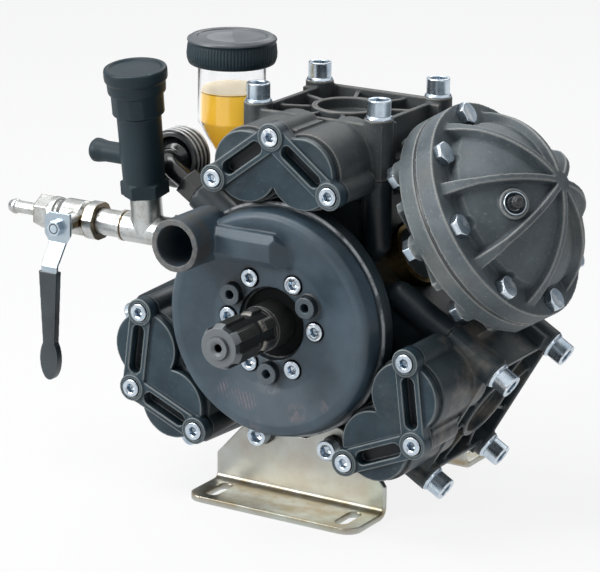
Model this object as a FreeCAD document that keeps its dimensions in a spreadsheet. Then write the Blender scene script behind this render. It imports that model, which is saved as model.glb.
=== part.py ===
import FreeCAD, Part
import math
import os
import re
import Sketcher
from FreeCAD import Placement, Rotation, Vector

# Three-diaphragm high pressure pump, in millimetres.
# The shaft lies along Y and its splined end points to -Y. Three radial heads stand at 90, -30
# and 210 degrees about it. The origin is the centre of the three tapped drive bosses' faces.

SIZES = {
    # Middle plane of the three cylinders, and the heads' studs about it
    "mid_y": 116.0,
    "stud_t": 52.5,
    "stud_y": 45.0,
    "stud_hole_r": 6.05,
    "deck_half_t": 60.0,
    "deck_half_y": 54.0,
    "deck_boss_r": 11.0,
    "deck_height": 105.0,
    "deck_thick": 16.0,
    "column_long": 34.0,
    "column_foot": 16.0,
    # Crankcase
    "barrel_r": 62.0,
    "barrel_wall": 9.0,
    "flange_r": 91.0,
    "flange_y": 17.0,
    "flange_thick": 13.3,
    "cone_length": 30.0,
    "arm_half": 50.0,
    "arm_edge_r": 14.0,
    "front_wall": 39.0,
    "spigot_r": 52.0,
    "spigot_depth": 6.0,
    "rear_flange_r": 76.0,
    "rear_flange_thick": 12.0,
    "rear_y": 176.0,
    "hub_gap": 4.0,
    "rear_lid_thick": 10.0,
    # Front cover
    "rim_r": 81.0,
    "rim_y": 0.0,
    "rim_round": 5.5,
    "dish_r": 50.0,
    "dish_y": 7.0,
    "cover_recess_r": 28.0,
    "cover_recess_y": 12.0,
    "channel_inner_r": 62.0,
    "channel_outer_r": 80.0,
    "channel_y": 8.5,
    "drive_circle_r": 37.6,
    "drive_boss_r": 8.3,
    "drive_hole_r": 3.4,
    "drive_hole_depth": 14.0,
    "drive_boss_foot_y": 12.0,
    "drive_hole_deep": 20.0,
    # Suction port and its duct on the front cover
    "port_x": -60.2,
    "port_z": 59.6,
    "port_y": -32.0,
    "port_outer_r": 20.3,
    "port_bore_r": 15.5,
    "port_bore_depth": 42.0,
    "duct_z": 58.5,
    "duct_half": 12.5,
    "duct_front_y": -8.5,
    "duct_end_x": 17.5,
    # Socket head screws of 8 mm thread
    "screw_r": 4.0,
    "screw_hole_r": 4.05,
    "screw_head_r": 6.5,
    "screw_head_tall": 8.0,
    "screw_socket": 6.0,
    "screw_seat_r": 7.4,
    "cover_screw_y": 5.2,
    "cover_screw_long": 20.0,
    # Gaps between pieces that touch, slide or stand free
    "close_gap": 0.02,
    "slide_gap": 0.05,
    "loose_gap": 0.1,
    # Shaft
    "spline_r": 17.45,
    "spline_root_r": 14.9,
    "spline_tooth": 8.6,
    "shaft_tip_y": -67.6,
    "spline_end_y": -12.0,
    "tip_chamfer": 5.5,
    "tip_boss_r": 8.6,
    "tip_boss": 2.5,
    "tip_cone_r": 5.6,
    "tip_cone_deep": 1.6,
    "spline_phase": 25.0,
    "lock_groove_at": 38.0,
    "lock_groove_r": 6.8,
    "lock_groove_root_r": 14.7,
    "tip_hole_r": 3.2,
    "tip_hole_depth": 16.0,
    "seal_seat_r": 17.5,
    "bearing_seat_r": 20.0,
    "bearing_outer_r": 40.0,
    "bearing_width": 18.0,
    "front_bearing_y": 36.0,
    "rear_bearing_y": 158.0,
    "shaft_shoulder_r": 24.0,
    "throw": 5.0,
    "journal_r": 26.0,
    "journal_half": 19.0,
    "race_outer_r": 38.0,
    "seal_outer_r": 26.0,
    "seal_width": 8.0,
    # Cylinders, pistons and diaphragms
    "sleeve_outer_r": 36.0,
    "sleeve_bore_r": 30.0,
    "sleeve_height": 56.0,
    "piston_gap": 0.05,
    "piston_crown_height": 104.5,
    "shoe_clearance": 0.5,
    "clamp_r": 23.5,
    "clamp_thick": 5.0,
    "diaphragm_r": 49.7,
    "diaphragm_thick": 2.6,
    "diaphragm_gap": 0.5,
    # Heads
    "chamber_r": 44.0,
    "chamber_top_height": 118.0,
    "head_floor_height": 128.0,
    "head_wall_height": 147.0,
    "head_boss_height": 150.5,
    "head_wall": 4.2,
    "head_wall_inset": 8.0,
    "ring_outer_r": 28.0,
    "ring_inner_r": 23.5,
    "rib_thick": 3.2,
    "lobe_t": 24.0,
    "lobe_height": 117.0,
    "lobe_r": 29.0,
    "lobe_y": 16.0,
    "lobe_back_y": 84.0,
    "lobe_low_back_y": 57.5,
    "valve_bore_r": 20.0,
    "valve_bore_y": 52.0,
    "port_hole_r": 7.0,
    "apex_height": 142.7,
    "saddle_half": 13.0,
    "wing_height": 105.2,
    "wing_t": 49.7,
    "ear_r": 10.5,
    # Valve covers
    "valve_cover_y": 7.4,
    "cover_lobe_r": 27.0,
    "bar_y": 4.4,
    "bar_half": 9.5,
    "ear_y": 2.6,
    "ear_screw_y": 1.4,
    "slot_half": 5.2,
    "slot_floor_y": 13.0,
    "slot_end_gap": 17.0,
    # Head studs' screws of 12 mm thread
    "stud_r": 6.0,
    "stud_head_r": 9.0,
    "stud_head_tall": 12.0,
    "stud_top_height": 165.0,
    "stud_long": 80.0,
    "stud_socket": 10.0,
    "washer_r": 10.4,
    # Valves
    "seat_y": 44.0,
    "seat_thick": 6.0,
    "seat_hole_r": 9.0,
    "plate_r": 13.0,
    "plate_thick": 2.0,
    "valve_lift": 3.0,
    "cage_r": 19.9,
    "spring_r": 8.0,
    "spring_wire_r": 0.8,
    # Pulsation damper, measured along its own axis from the shaft axis
    "damper_flange_r": 86.0,
    "damper_neck_r": 21.0,
    "damper_neck_height": 74.0,
    "damper_skirt_height": 121.0,
    "damper_skirt_r": 68.0,
    "damper_rim_height": 130.0,
    "damper_split_height": 144.0,
    "damper_seat_height": 161.5,
    "damper_bolt_circle_r": 76.0,
    "damper_phase": 88.2,
    "damper_dome_r": 66.0,
    "damper_dome_tall": 46.0,
    "damper_wall": 6.0,
    "damper_rib_r": 79.0,
    "damper_rib_tall": 53.0,
    "damper_rib_thick": 5.0,
    "damper_lug_r": 10.5,
    "damper_lug_height": 123.0,
    "membrane_thick": 1.8,
    "damper_screw_r": 5.0,
    "damper_step_tall": 8.0,
    "damper_pocket_r": 11.0,
    "gusset_thick": 7.0,
    "nut_tall": 7.0,
    "nut_clear": 0.4,
    "hexagon_half": 8.0,
    "hex_head_tall": 6.4,
    "nipple_r": 14.0,
    "nipple_ring_r": 24.0,
    "nipple_bore_r": 8.0,
    "damper_boss_low": 40.0,
    "damper_boss_r": 29.0,
    "damper_boss_height": 62.0,
    "air_valve_height": 44.0,
    "air_valve_r": 8.0,
    "air_boss_r": 11.5,
    "air_valve_tall": 2.2,
    "air_stem_r": 4.6,
    "air_stem_tall": 9.5,
    # Foot brackets
    "foot_plate_y": 49.4,
    "foot_sheet": 5.0,
    "foot_half": 75.0,
    "foot_floor_z": -153.0,
    "foot_shoulder_z": -128.0,
    "foot_ear_x": 31.0,
    "foot_ear_z": -103.0,
    "foot_ear_r": 16.0,
    "foot_hole_deep": 28.0,
    "foot_reach": 45.4,
    "foot_bend_r": 4.0,
    "foot_corner": 13.0,
    "foot_slot_x": 57.5,
    "foot_slot_y": 26.4,
    "foot_slot_long": 28.0,
    "foot_slot_r": 5.25,
    "foot_collar_thick": 3.4,
    # Socket head screws of 10 mm thread at the feet
    "foot_screw_r": 5.0,
    "foot_head_r": 8.0,
    "foot_head_tall": 10.0,
    "foot_socket": 8.0,
    "foot_lug_r": 14.0,
    # Delivery line, along -X from the crankcase
    "line_y": 56.4,
    "line_z": 39.7,
    "line_boss_r": 17.0,
    "line_boss_x": -92.0,
    "tee_x": -143.2,
    "tee_r": 12.0,
    "tee_reach": 20.0,
    "tee_nipple": 25.0,
    "line_tube_r": 10.5,
    "line_ring_r": 12.2,
    "union_r": 14.5,
    "union_thick": 10.0,
    "tail_r": 5.0,
    "tail_bore_r": 3.0,
    "tail_long": 30.0,
    "tail_lip_r": 6.0,
    "tail_land": 2.0,
    "tail_land_at": 25.0,
    "ball_x": -205.2,
    "ball_body_r": 14.0,
    "ball_r": 7.0,
    "ball_bore_r": 4.0,
    "ball_gap": 0.1,
    "stem_r": 4.0,
    "lever_y": 24.0,
    "lever_sheet": 2.5,
    "lever_head_r": 12.0,
    "lever_crank": 14.0,
    "lever_tip_z": -81.0,
    "grip_top_z": 7.0,
    "grip_half": 8.4,
    "grip_thick": 7.0,
    "grip_waist": 5.2,
    "grip_bulb_half": 8.4,
    "grip_bulb_tall": 17.0,
    # Regulator, measured along its own axis from the delivery line
    "regulator_lean": 7.5,
    "regulator_tube_r": 12.4,
    "regulator_hex_low": 30.0,
    "regulator_hex_high": 41.0,
    "regulator_hex_half": 16.5,
    "regulator_body_r": 17.3,
    "regulator_body_top": 95.0,
    "barb_level": 60.0,
    "barb_reach": 44.0,
    "barb_r": 8.2,
    "barb_lip_r": 9.4,
    "barb_land": 3.0,
    "knob_low": 96.0,
    "knob_step": 112.0,
    "knob_rim": 127.0,
    "knob_top": 133.0,
    "knob_skirt_r": 20.2,
    "knob_mid_r": 22.4,
    "knob_rim_r": 24.4,
    # Oil reservoir
    "oil_x": -105.0,
    "oil_cap_top_z": 187.5,
    "oil_cap_low_z": 165.0,
    "oil_cap_r": 35.0,
    "oil_cup_r": 26.5,
    "oil_cup_wall": 2.0,
    "oil_cone_top_z": 120.0,
    "oil_cone_low_z": 84.0,
    "oil_cone_low_r": 8.5,
    "oil_level_z": 145.0,
    "oil_neck_r": 13.0,
    "oil_boss_z": 64.0,
    "oil_boss_r": 12.0,
    # Ribbed return coupling beside the regulator
    "arm_y": 74.3,
    "arm_angle": 146.7,
    "arm_r": 13.0,
    "arm_height": 128.0,
    "arm_hex_height": 142.0,
    "arm_hex_half": 11.0,
    "elbow_r": 8.2,
    "elbow_bend_r": 11.0,
    "elbow_bend_height": 154.7,
    "coupling_r": 23.5,
    "coupling_groove": 1.6,
    "coupling_bore_r": 17.5,
    "coupling_y": 82.8,
    "coupling_long": 20.6,
}

HEAD_ANGLES = {"top": 90.0, "right": -30.0, "left": 210.0}
DAMPER_ANGLE = 31.6
FUNCTIONS = {"cos", "sin", "tan", "sqrt"}
AXIS_X, AXIS_Y, AXIS_Z = Vector(1, 0, 0), Vector(0, 1, 0), Vector(0, 0, 1)

doc = FreeCAD.newDocument("Pump")
sheet = doc.addObject("Spreadsheet::Sheet", "Sizes")
for row, (alias, value) in enumerate(SIZES.items(), start=1):
    sheet.set(f"A{row}", alias)
    sheet.set(f"B{row}", str(value))
    sheet.setAlias(f"B{row}", alias)
doc.recompute()

parts = {}


def size(alias):
    """One driving dimension, read back from the sheet."""
    return float(getattr(sheet, alias))


def bound(text):
    """The expression with each size's name pointed at the sheet."""
    def point(match):
        word = match.group(0)
        return word if word in FUNCTIONS else "Sizes." + word
    return re.sub(r"[a-z_]{2,}", point, text)


def turn_about_y(angle):
    """Rotation that takes +Z to the radial direction at this angle about the shaft."""
    return Rotation(AXIS_Y, 90.0 - angle)


# Sketched bodies: every corner of a sketch is tied to the sheet by two distances

def body_plane(body, role):
    return [feature for feature in body.Origin.OriginFeatures if feature.Role == role][0]


def profile(body, name, role, corners):
    """A closed outline whose corners are pairs of expressions from the origin."""
    sketch = body.newObject("Sketcher::SketchObject", name)
    sketch.AttachmentSupport = [(body_plane(body, role), "")]
    sketch.MapMode = "FlatFace"
    count = len(corners)
    start = [(size_of(across), size_of(along)) for across, along in corners]
    for index in range(count):
        first = Vector(*start[index], 0)
        second = Vector(*start[(index + 1) % count], 0)
        sketch.addGeometry(Part.LineSegment(first, second), False)
    for index in range(count):
        sketch.addConstraint(Sketcher.Constraint("Coincident", index, 2, (index + 1) % count, 1))
    for index, corner in enumerate(corners):
        for kind, text, place in zip(("DistanceX", "DistanceY"), corner, start[index]):
            tie = sketch.addConstraint(Sketcher.Constraint(kind, -1, 1, index, 1, place))
            sketch.setExpression(f"Constraints[{tie}]", bound(text))
    return sketch


def size_of(text):
    """The present value of an expression of sizes."""
    words = {word: size(word) for word in re.findall(r"[a-z_]{2,}", text) if word not in FUNCTIONS}
    total = text
    for word in sorted(words, key=len, reverse=True):
        total = re.sub(rf"\b{word}\b", repr(words[word]), total)
    return float(FreeCAD.Units.Quantity(total).Value)


def turned(label, corners, axis="Y", placement=None, keep=True):
    """A body revolved about Y or Z from corners of radius and height."""
    body = doc.addObject("PartDesign::Body", label)
    role = "XY_Plane" if axis == "Y" else "XZ_Plane"
    sketch = profile(body, label + "_profile", role, corners)
    turn = body.newObject("PartDesign::Revolution", label + "_turn")
    turn.Profile = sketch
    turn.ReferenceAxis = (sketch, ["V_Axis"])
    turn.Angle = 360
    if placement:
        body.Placement = placement
    if keep:
        parts[label] = body
    return body


def built(label, shape, placement=None):
    """A cast, bent or grouped piece whose shape is made below from the sheet's sizes."""
    feature = doc.addObject("Part::Feature", label)
    feature.Shape = shape
    if placement:
        feature.Placement = placement
    parts[label] = feature
    return feature


# Plain solids used by the castings

def rod(radius, start, end):
    """A cylinder from one point to another."""
    way = end - start
    return Part.makeCylinder(radius, way.Length, start, way)


def taper(low_r, high_r, start, end):
    way = end - start
    return Part.makeCone(low_r, high_r, way.Length, start, way)


def block(x_range, y_range, z_range):
    low = Vector(x_range[0], y_range[0], z_range[0])
    return Part.makeBox(x_range[1] - x_range[0], y_range[1] - y_range[0], z_range[1] - z_range[0], low)


def prism(half_flat, start, end, turn=0.0):
    """A hexagonal bar between two points, given half the width over its flats."""
    way = end - start
    corner_r = half_flat / math.cos(math.pi / 6)
    corners = [Vector(corner_r * math.cos(math.radians(60 * step + turn)),
                      corner_r * math.sin(math.radians(60 * step + turn)), 0) for step in range(7)]
    bar = Part.Face(Part.makePolygon(corners)).extrude(Vector(0, 0, way.Length))
    bar.Placement = Placement(start, Rotation(AXIS_Z, way))
    return bar


def slab(outline, depth):
    """A flat outline pushed along a vector."""
    return Part.Face(Part.makePolygon(outline + outline[:1])).extrude(depth)


def joined(shapes):
    first, rest = shapes[0], shapes[1:]
    return first.fuse(rest).removeSplitter() if rest else first


def swung(shape, angle):
    """A copy of a shape drawn for the top head, turned to another head."""
    copy = shape.copy()
    copy.rotate(Vector(0, 0, 0), AXIS_Y, 90.0 - angle)
    return copy


def around_shaft(radius, angle, y):
    angle = math.radians(angle)
    return Vector(radius * math.cos(angle), y, radius * math.sin(angle))


def socket_screw(thread_r, head_r, head_tall, socket, long, top, way):
    """A socket head screw whose head's top centre and pointing direction are given."""
    under = top + way * head_tall
    screw = rod(head_r, top, under).fuse(rod(thread_r, under, under + way * long))
    return screw.cut(prism(socket / 2, top, top + way * head_tall * 0.5))


# Head joint: the same bolt pattern on the crankcase decks, the heads, studs and washers

def stud_places():
    mid, side, along = size("mid_y"), size("stud_t"), size("stud_y")
    return [(t, mid + y) for t in (-side, side) for y in (-along, along)]


def corner_plate(low, high):
    """The deck outline: a rectangle with a round boss at each stud."""
    side, along, mid = size("deck_half_t"), size("deck_half_y"), size("mid_y")
    plate = block((-side, side), (mid - along, mid + along), (low, high))
    bosses = [rod(size("deck_boss_r"), Vector(t, y, low), Vector(t, y, high)) for t, y in stud_places()]
    return joined([plate] + bosses)


def valve_screw_places():
    """Tangential and radial places of the three screws of a valve cover."""
    wing_t, wing_height = size("wing_t"), size("wing_height")
    return [(0.0, size("apex_height")), (wing_t, wing_height), (-wing_t, wing_height)]


# Crankcase

def crankcase_shell():
    """Front flange, cone, barrel and rear flange as one turned solid."""
    flange_y, barrel_r, rear_y = size("flange_y"), size("barrel_r"), size("rear_y")
    back = flange_y + size("flange_thick")
    rear = rear_y - size("rear_flange_thick")
    outline = [(0, flange_y), (size("flange_r"), flange_y), (size("flange_r"), back),
               (barrel_r, back + size("cone_length")), (barrel_r, rear - 8),
               (size("rear_flange_r"), rear), (size("rear_flange_r"), rear_y), (0, rear_y)]
    face = Part.Face(Part.makePolygon([Vector(r, y, 0) for r, y in outline + outline[:1]]))
    return face.revolve(Vector(0, 0, 0), AXIS_Y, 360)


def crankcase_arm():
    """One radial cylinder arm with its deck, drawn for the top head."""
    half, mid, deck = size("arm_half"), size("mid_y"), size("deck_height")
    arm = block((-half, half), (mid - half, mid + half), (0, deck - size("deck_thick") + 1))
    uprights = [edge for edge in arm.Edges if abs(edge.tangentAt(edge.FirstParameter).z) > 0.99]
    arm = arm.makeFillet(size("arm_edge_r"), uprights)
    plate = corner_plate(deck - size("deck_thick"), deck)
    return joined([arm, plate] + [deck_column(t, y) for t, y in stud_places()])


def deck_column(t, y):
    """The round column under a stud, which leans into the arm at its foot."""
    mid, top = size("mid_y"), size("deck_height") - size("deck_thick")
    foot = top - size("column_long")
    radius, lean = size("deck_boss_r"), 0.75
    low = Vector(t * lean, mid + (y - mid) * lean, foot - size("column_foot"))
    return rod(radius, Vector(t, y, foot), Vector(t, y, top)).fuse(
        [taper(radius * 0.6, radius, low, Vector(t, y, foot)), Part.makeSphere(radius, Vector(t, y, foot))])


def crankcase_bosses():
    """Pads and bosses that carry the damper, the delivery line, the oil cup and the feet."""
    mid = size("mid_y")
    damper = rod(size("damper_boss_r"), around_shaft(size("damper_boss_low"), DAMPER_ANGLE, mid),
                 around_shaft(size("damper_boss_height"), DAMPER_ANGLE, mid))
    line = rod(size("line_boss_r"), Vector(-30, size("line_y"), size("line_z")),
               Vector(size("line_boss_x"), size("line_y"), size("line_z")))
    arm = rod(size("arm_r"), around_shaft(40, size("arm_angle"), size("arm_y")),
              around_shaft(size("arm_height"), size("arm_angle"), size("arm_y")))
    oil_r = size("oil_boss_r")
    oil = rod(oil_r, Vector(-30, mid, size("oil_boss_z")), Vector(size("oil_x"), mid, size("oil_boss_z")))
    oil_up = rod(oil_r, Vector(size("oil_x"), mid, size("oil_boss_z") - oil_r),
                 Vector(size("oil_x"), mid, size("oil_boss_z") + oil_r))
    return [damper, line, arm, oil, oil_up] + foot_pads()


def foot_pads():
    """The cast pads behind each foot bracket, with a round lug at each screw."""
    front = size("foot_plate_y") + size("foot_sheet")
    pads = []
    for near, far in ((front, front + 18), (2 * size("mid_y") - front - 18, 2 * size("mid_y") - front)):
        half = size("foot_ear_x")
        pads.append(block((-half, half), (near, far), (size("foot_ear_z"), -40)))
        lug_r = size("foot_lug_r")
        for x in (-half, half):
            pads.append(rod(lug_r, Vector(x, near, size("foot_ear_z")), Vector(x, far, size("foot_ear_z"))))
            pads.append(block((x - lug_r, x + lug_r), (near, far), (size("foot_ear_z"), -40)))
    return pads


def crankcase_cavity():
    """Everything cut out of the crankcase."""
    mid, inner_r = size("mid_y"), size("barrel_r") - size("barrel_wall")
    flange_y = size("flange_y")
    wall_y = flange_y + size("front_wall")
    bearing_y, bearing_r = size("front_bearing_y"), size("bearing_outer_r") + size("close_gap")
    cuts = [rod(inner_r, Vector(0, wall_y, 0), Vector(0, size("rear_y") + 1, 0)),
            rod(size("spigot_r") + size("loose_gap"), Vector(0, flange_y - 1, 0),
                Vector(0, flange_y + size("spigot_depth"), 0)),
            rod(bearing_r, Vector(0, bearing_y, 0), Vector(0, wall_y + 1, 0)),
            rod(size("shaft_shoulder_r") + 4, Vector(0, flange_y, 0), Vector(0, wall_y, 0))]
    for angle in HEAD_ANGLES.values():
        cuts.append(swung(head_side_cuts(), angle))
    for step in range(6):
        place = around_shaft(size("drive_circle_r"), 60 * step, flange_y)
        cuts.append(rod(size("screw_hole_r"), place, place + AXIS_Y * size("cover_screw_long")))
        place = around_shaft(rear_screw_circle(), 60 * step + 30, size("rear_y") - 11.5)
        cuts.append(rod(size("screw_hole_r"), place, place + AXIS_Y * 12))
    for radius, start, end in ((size("nipple_r") + size("slide_gap"), 40, 70),
                               (size("nipple_ring_r") + 1.5, size("damper_boss_height"), 110)):
        cuts.append(rod(radius, around_shaft(start, DAMPER_ANGLE, mid), around_shaft(end, DAMPER_ANGLE, mid)))
    rear = size("rear_y")
    cuts.append(rod(size("rear_flange_r") + 0.5, Vector(0, rear, 0), Vector(0, rear + 9, 0)))
    cuts.append(rod(size("line_tube_r") - 1, Vector(-70, size("line_y"), size("line_z")),
                    Vector(size("line_boss_x") - 1, size("line_y"), size("line_z"))))
    hole_deep = size("foot_hole_deep")
    for x in (-size("foot_ear_x"), size("foot_ear_x")):
        for y in (size("foot_plate_y"), 2 * mid - size("foot_plate_y") - hole_deep):
            cuts.append(rod(size("foot_screw_r") + size("slide_gap"), Vector(x, y, size("foot_ear_z")),
                            Vector(x, y + hole_deep, size("foot_ear_z"))))
    return cuts


def head_side_cuts():
    """Sleeve bore, stud holes and valve housing relief under the top head."""
    mid, deck = size("mid_y"), size("deck_height")
    bore = rod(size("sleeve_outer_r") + size("slide_gap"), Vector(0, mid, 20), Vector(0, mid, deck + 1))
    holes = []
    for t, y in stud_places():
        holes.append(rod(size("stud_hole_r"), Vector(t, y, deck - 38), Vector(t, y, deck + 1)))
    relief = [rod(size("lobe_r") + 1, Vector(t, size("flange_y") - 1, size("lobe_height")),
                  Vector(t, size("lobe_low_back_y") + 0.5, size("lobe_height")))
              for t in (-size("lobe_t"), size("lobe_t"))]
    return joined([bore] + holes + relief)


def make_crankcase():
    solid = [crankcase_shell()] + [swung(crankcase_arm(), angle) for angle in HEAD_ANGLES.values()]
    shape = joined(solid + crankcase_bosses())
    built("crankcase", shape.cut(crankcase_cavity()).removeSplitter())


def rear_screw_circle():
    return size("rear_flange_r") - 8


def make_rear_cover():
    """A flat lid with a hub inside that holds the rear bearing."""
    hub_low, rear_y, thick = size("rear_bearing_y"), size("rear_y"), size("rear_lid_thick")
    hub_r = size("barrel_r") - size("barrel_wall") - size("hub_gap")
    seat_r, seat_back = size("bearing_outer_r") + size("close_gap"), hub_low + size("bearing_width")
    outline = [(0, seat_back), (seat_r, seat_back), (seat_r, hub_low), (hub_r, hub_low), (hub_r, rear_y),
               (size("rear_flange_r"), rear_y), (size("rear_flange_r"), rear_y + thick - 4),
               (size("rear_flange_r") - 4, rear_y + thick), (0, rear_y + thick)]
    face = Part.Face(Part.makePolygon([Vector(r, y, 0) for r, y in outline + outline[:1]]))
    lid = face.revolve(Vector(0, 0, 0), AXIS_Y, 360)
    tools, screws = [], []
    for step in range(6):
        place = around_shaft(rear_screw_circle(), 60 * step + 30, rear_y + thick)
        tools.append(rod(size("screw_hole_r"), place - AXIS_Y * 11, place))
        tools.append(rod(size("screw_seat_r") + 0.2, place - AXIS_Y * 4, place + AXIS_Y * 6))
        screws.append(socket_screw(size("screw_r"), size("screw_head_r"), size("screw_head_tall"),
                                   size("screw_socket"), 16, place + AXIS_Y * 4, -AXIS_Y))
    built("rear_cover", lid.cut(tools))
    built("rear_cover_screws", Part.makeCompound(screws))


# Front cover with the suction port

def cover_blank():
    """The turned disc: rounded rim, dished face, seal seat and the spigot behind."""
    rim_r, rim_y, rounding = size("rim_r"), size("rim_y"), size("rim_round")
    flange_y = size("flange_y")
    outer = rim_r + rounding
    spigot_back = flange_y + size("spigot_depth")
    recess_r = size("cover_recess_r")
    seal_r, seal_y = size("seal_outer_r") + size("close_gap"), size("cover_recess_y")
    lip_r = size("seal_seat_r") + 1.5
    corner = rounding * (1 - math.sqrt(0.5))
    edges = [Part.LineSegment(Vector(recess_r, size("dish_y"), 0), Vector(size("dish_r"), size("dish_y"), 0)),
             Part.LineSegment(Vector(size("dish_r"), size("dish_y"), 0), Vector(rim_r - 3, rim_y, 0)),
             Part.LineSegment(Vector(rim_r - 3, rim_y, 0), Vector(rim_r, rim_y, 0)),
             Part.Arc(Vector(rim_r, rim_y, 0), Vector(outer - corner, rim_y + corner, 0),
                      Vector(outer, rim_y + rounding, 0))]
    rest = [(outer, rim_y + rounding), (outer + 1, flange_y), (size("spigot_r"), flange_y),
            (size("spigot_r"), spigot_back), (lip_r, spigot_back), (lip_r, seal_y + size("seal_width")),
            (seal_r, seal_y + size("seal_width")), (seal_r, seal_y), (recess_r, seal_y),
            (recess_r, size("dish_y"))]
    for first, second in zip(rest, rest[1:]):
        edges.append(Part.LineSegment(Vector(*first, 0), Vector(*second, 0)))
    wire = Part.Wire([edge.toShape() for edge in edges])
    return Part.Face(wire).revolve(Vector(0, 0, 0), AXIS_Y, 360)


def suction_duct():
    """The faceted ridge from the port along +X over the disc, with a tapered end."""
    half, front, back = size("duct_half"), size("duct_front_y"), size("flange_y") - 2
    z, bevel = size("duct_z"), size("duct_half") * 0.45
    section = [Vector(size("port_x"), back, z - half), Vector(size("port_x"), front + bevel, z - half),
               Vector(size("port_x"), front, z - half + bevel), Vector(size("port_x"), front, z + half - bevel),
               Vector(size("port_x"), front + bevel, z + half), Vector(size("port_x"), back, z + half)]
    ridge = slab(section, Vector(size("duct_end_x") - size("port_x"), 0, 0))
    tip = Vector(size("duct_end_x"), front - 1, z)
    keep_low = slab([tip + Vector(-90, 0, -20), tip + Vector(0, 0, -20), tip + Vector(0, 0, 2),
                     tip + Vector(-18, 0, 20), tip + Vector(-90, 0, 20)], AXIS_Y * 40)
    slope = slab([tip + Vector(-100, 0, -25), tip + Vector(-11, 0, -25), tip + Vector(1, 16, -25),
                  tip + Vector(1, 40, -25), tip + Vector(-100, 40, -25)], AXIS_Z * 50)
    return ridge.common(keep_low).common(slope)


def make_front_cover():
    port = Vector(size("port_x"), size("port_y"), size("port_z"))
    port_back = Vector(size("port_x"), size("flange_y"), size("port_z"))
    shape = joined([cover_blank(), suction_duct(), rod(size("port_outer_r"), port, port_back)])
    tools = [rod(size("port_bore_r"), port, port + AXIS_Y * size("port_bore_depth"))]
    channel = rod(size("channel_outer_r"), Vector(0, size("channel_y"), 0), Vector(0, size("flange_y"), 0))
    tools.append(channel.cut(rod(size("channel_inner_r"), Vector(), AXIS_Y * size("flange_y"))))
    bosses = []
    for angle in (30, 150, 270):
        face = around_shaft(size("drive_circle_r"), angle, 0)
        foot = around_shaft(size("drive_circle_r"), angle, size("drive_boss_foot_y"))
        bosses.append(rod(size("drive_boss_r"), face, foot))
    screws = []
    seat_y = size("cover_screw_y") + size("screw_head_tall")
    for step in range(6):
        top = around_shaft(size("drive_circle_r"), 60 * step, size("cover_screw_y"))
        seat = around_shaft(size("drive_circle_r"), 60 * step, seat_y)
        tools.append(rod(size("screw_seat_r"), top - AXIS_Y * 8, seat))
        tools.append(rod(size("screw_hole_r"), seat, seat + AXIS_Y * size("drive_hole_deep")))
        screws.append(socket_screw(size("screw_r"), size("screw_head_r"), size("screw_head_tall"),
                                   size("screw_socket"), size("cover_screw_long"), top, AXIS_Y))
    holes = [rod(size("drive_hole_r"), around_shaft(size("drive_circle_r"), angle, 0),
                 around_shaft(size("drive_circle_r"), angle, size("drive_hole_depth")))
             for angle in (30, 150, 270)]
    shape = shape.cut(tools).fuse(bosses).cut(holes).removeSplitter()
    built("front_cover", shape)
    built("front_cover_screws", Part.makeCompound(screws))


# Crankshaft and what it runs in

def crankshaft_shape():
    point, end = size("shaft_tip_y"), size("spline_end_y")
    tip = point + size("tip_boss")
    front, rear, mid = size("front_bearing_y"), size("rear_bearing_y"), size("mid_y")
    half, chamfer = size("journal_half"), size("tip_chamfer")
    root, crest = size("spline_root_r"), size("spline_r")
    bar = rod(crest, Vector(0, tip + chamfer, 0), Vector(0, end, 0))
    nose = taper(root, crest, Vector(0, tip, 0), Vector(0, tip + chamfer, 0))
    teeth = []
    for step in range(3):
        tooth = block((-crest, crest), (tip, end), (-size("spline_tooth") / 2, size("spline_tooth") / 2))
        tooth.rotate(Vector(0, 0, 0), AXIS_Y, 60 * step + size("spline_phase"))
        teeth.append(tooth)
    core = rod(root, Vector(0, tip, 0), Vector(0, end, 0))
    lock_r, lock_root = size("lock_groove_r"), size("lock_groove_root_r")
    lock = Part.makeTorus(lock_root + lock_r, lock_r, Vector(0, point + size("lock_groove_at"), 0), AXIS_Y)
    splines = bar.fuse(nose).common(joined([core] + teeth)).cut(lock)
    run_out = taper(crest, root, Vector(0, end, 0), Vector(0, end + 4, 0))
    seal = rod(size("seal_seat_r"), Vector(0, end + 3, 0), Vector(0, front - 6, 0))
    seats = rod(size("bearing_seat_r"), Vector(0, front - 6, 0), Vector(0, rear + size("bearing_width"), 0))
    shoulder_r = size("shaft_shoulder_r")
    front_shoulder = rod(shoulder_r, Vector(0, front + size("bearing_width"), 0), Vector(0, mid - half, 0))
    rear_shoulder = rod(shoulder_r, Vector(0, mid + half, 0), Vector(0, rear, 0))
    throw = Vector(0, mid - half, size("throw"))
    journal = rod(size("journal_r"), throw, throw + AXIS_Y * 2 * half)
    shape = joined([splines, run_out, seal, seats, front_shoulder, rear_shoulder, journal])
    boss = rod(size("tip_boss_r"), Vector(0, point, 0), Vector(0, tip + 1, 0))
    cone_end = Vector(0, point + size("tip_cone_deep"), 0)
    cone = taper(size("tip_cone_r"), size("tip_hole_r"), Vector(0, point, 0), cone_end)
    hole = rod(size("tip_hole_r"), Vector(0, point, 0), Vector(0, point + size("tip_hole_depth"), 0))
    return shape.fuse(boss).cut([cone, hole])


def make_bearing(label, y_alias, inner, outer):
    """A sealed ball bearing as one ring with recessed shields."""
    turned(label, [(inner, y_alias), (outer, y_alias), (outer, y_alias + " + bearing_width"),
                   (inner, y_alias + " + bearing_width")])


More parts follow.
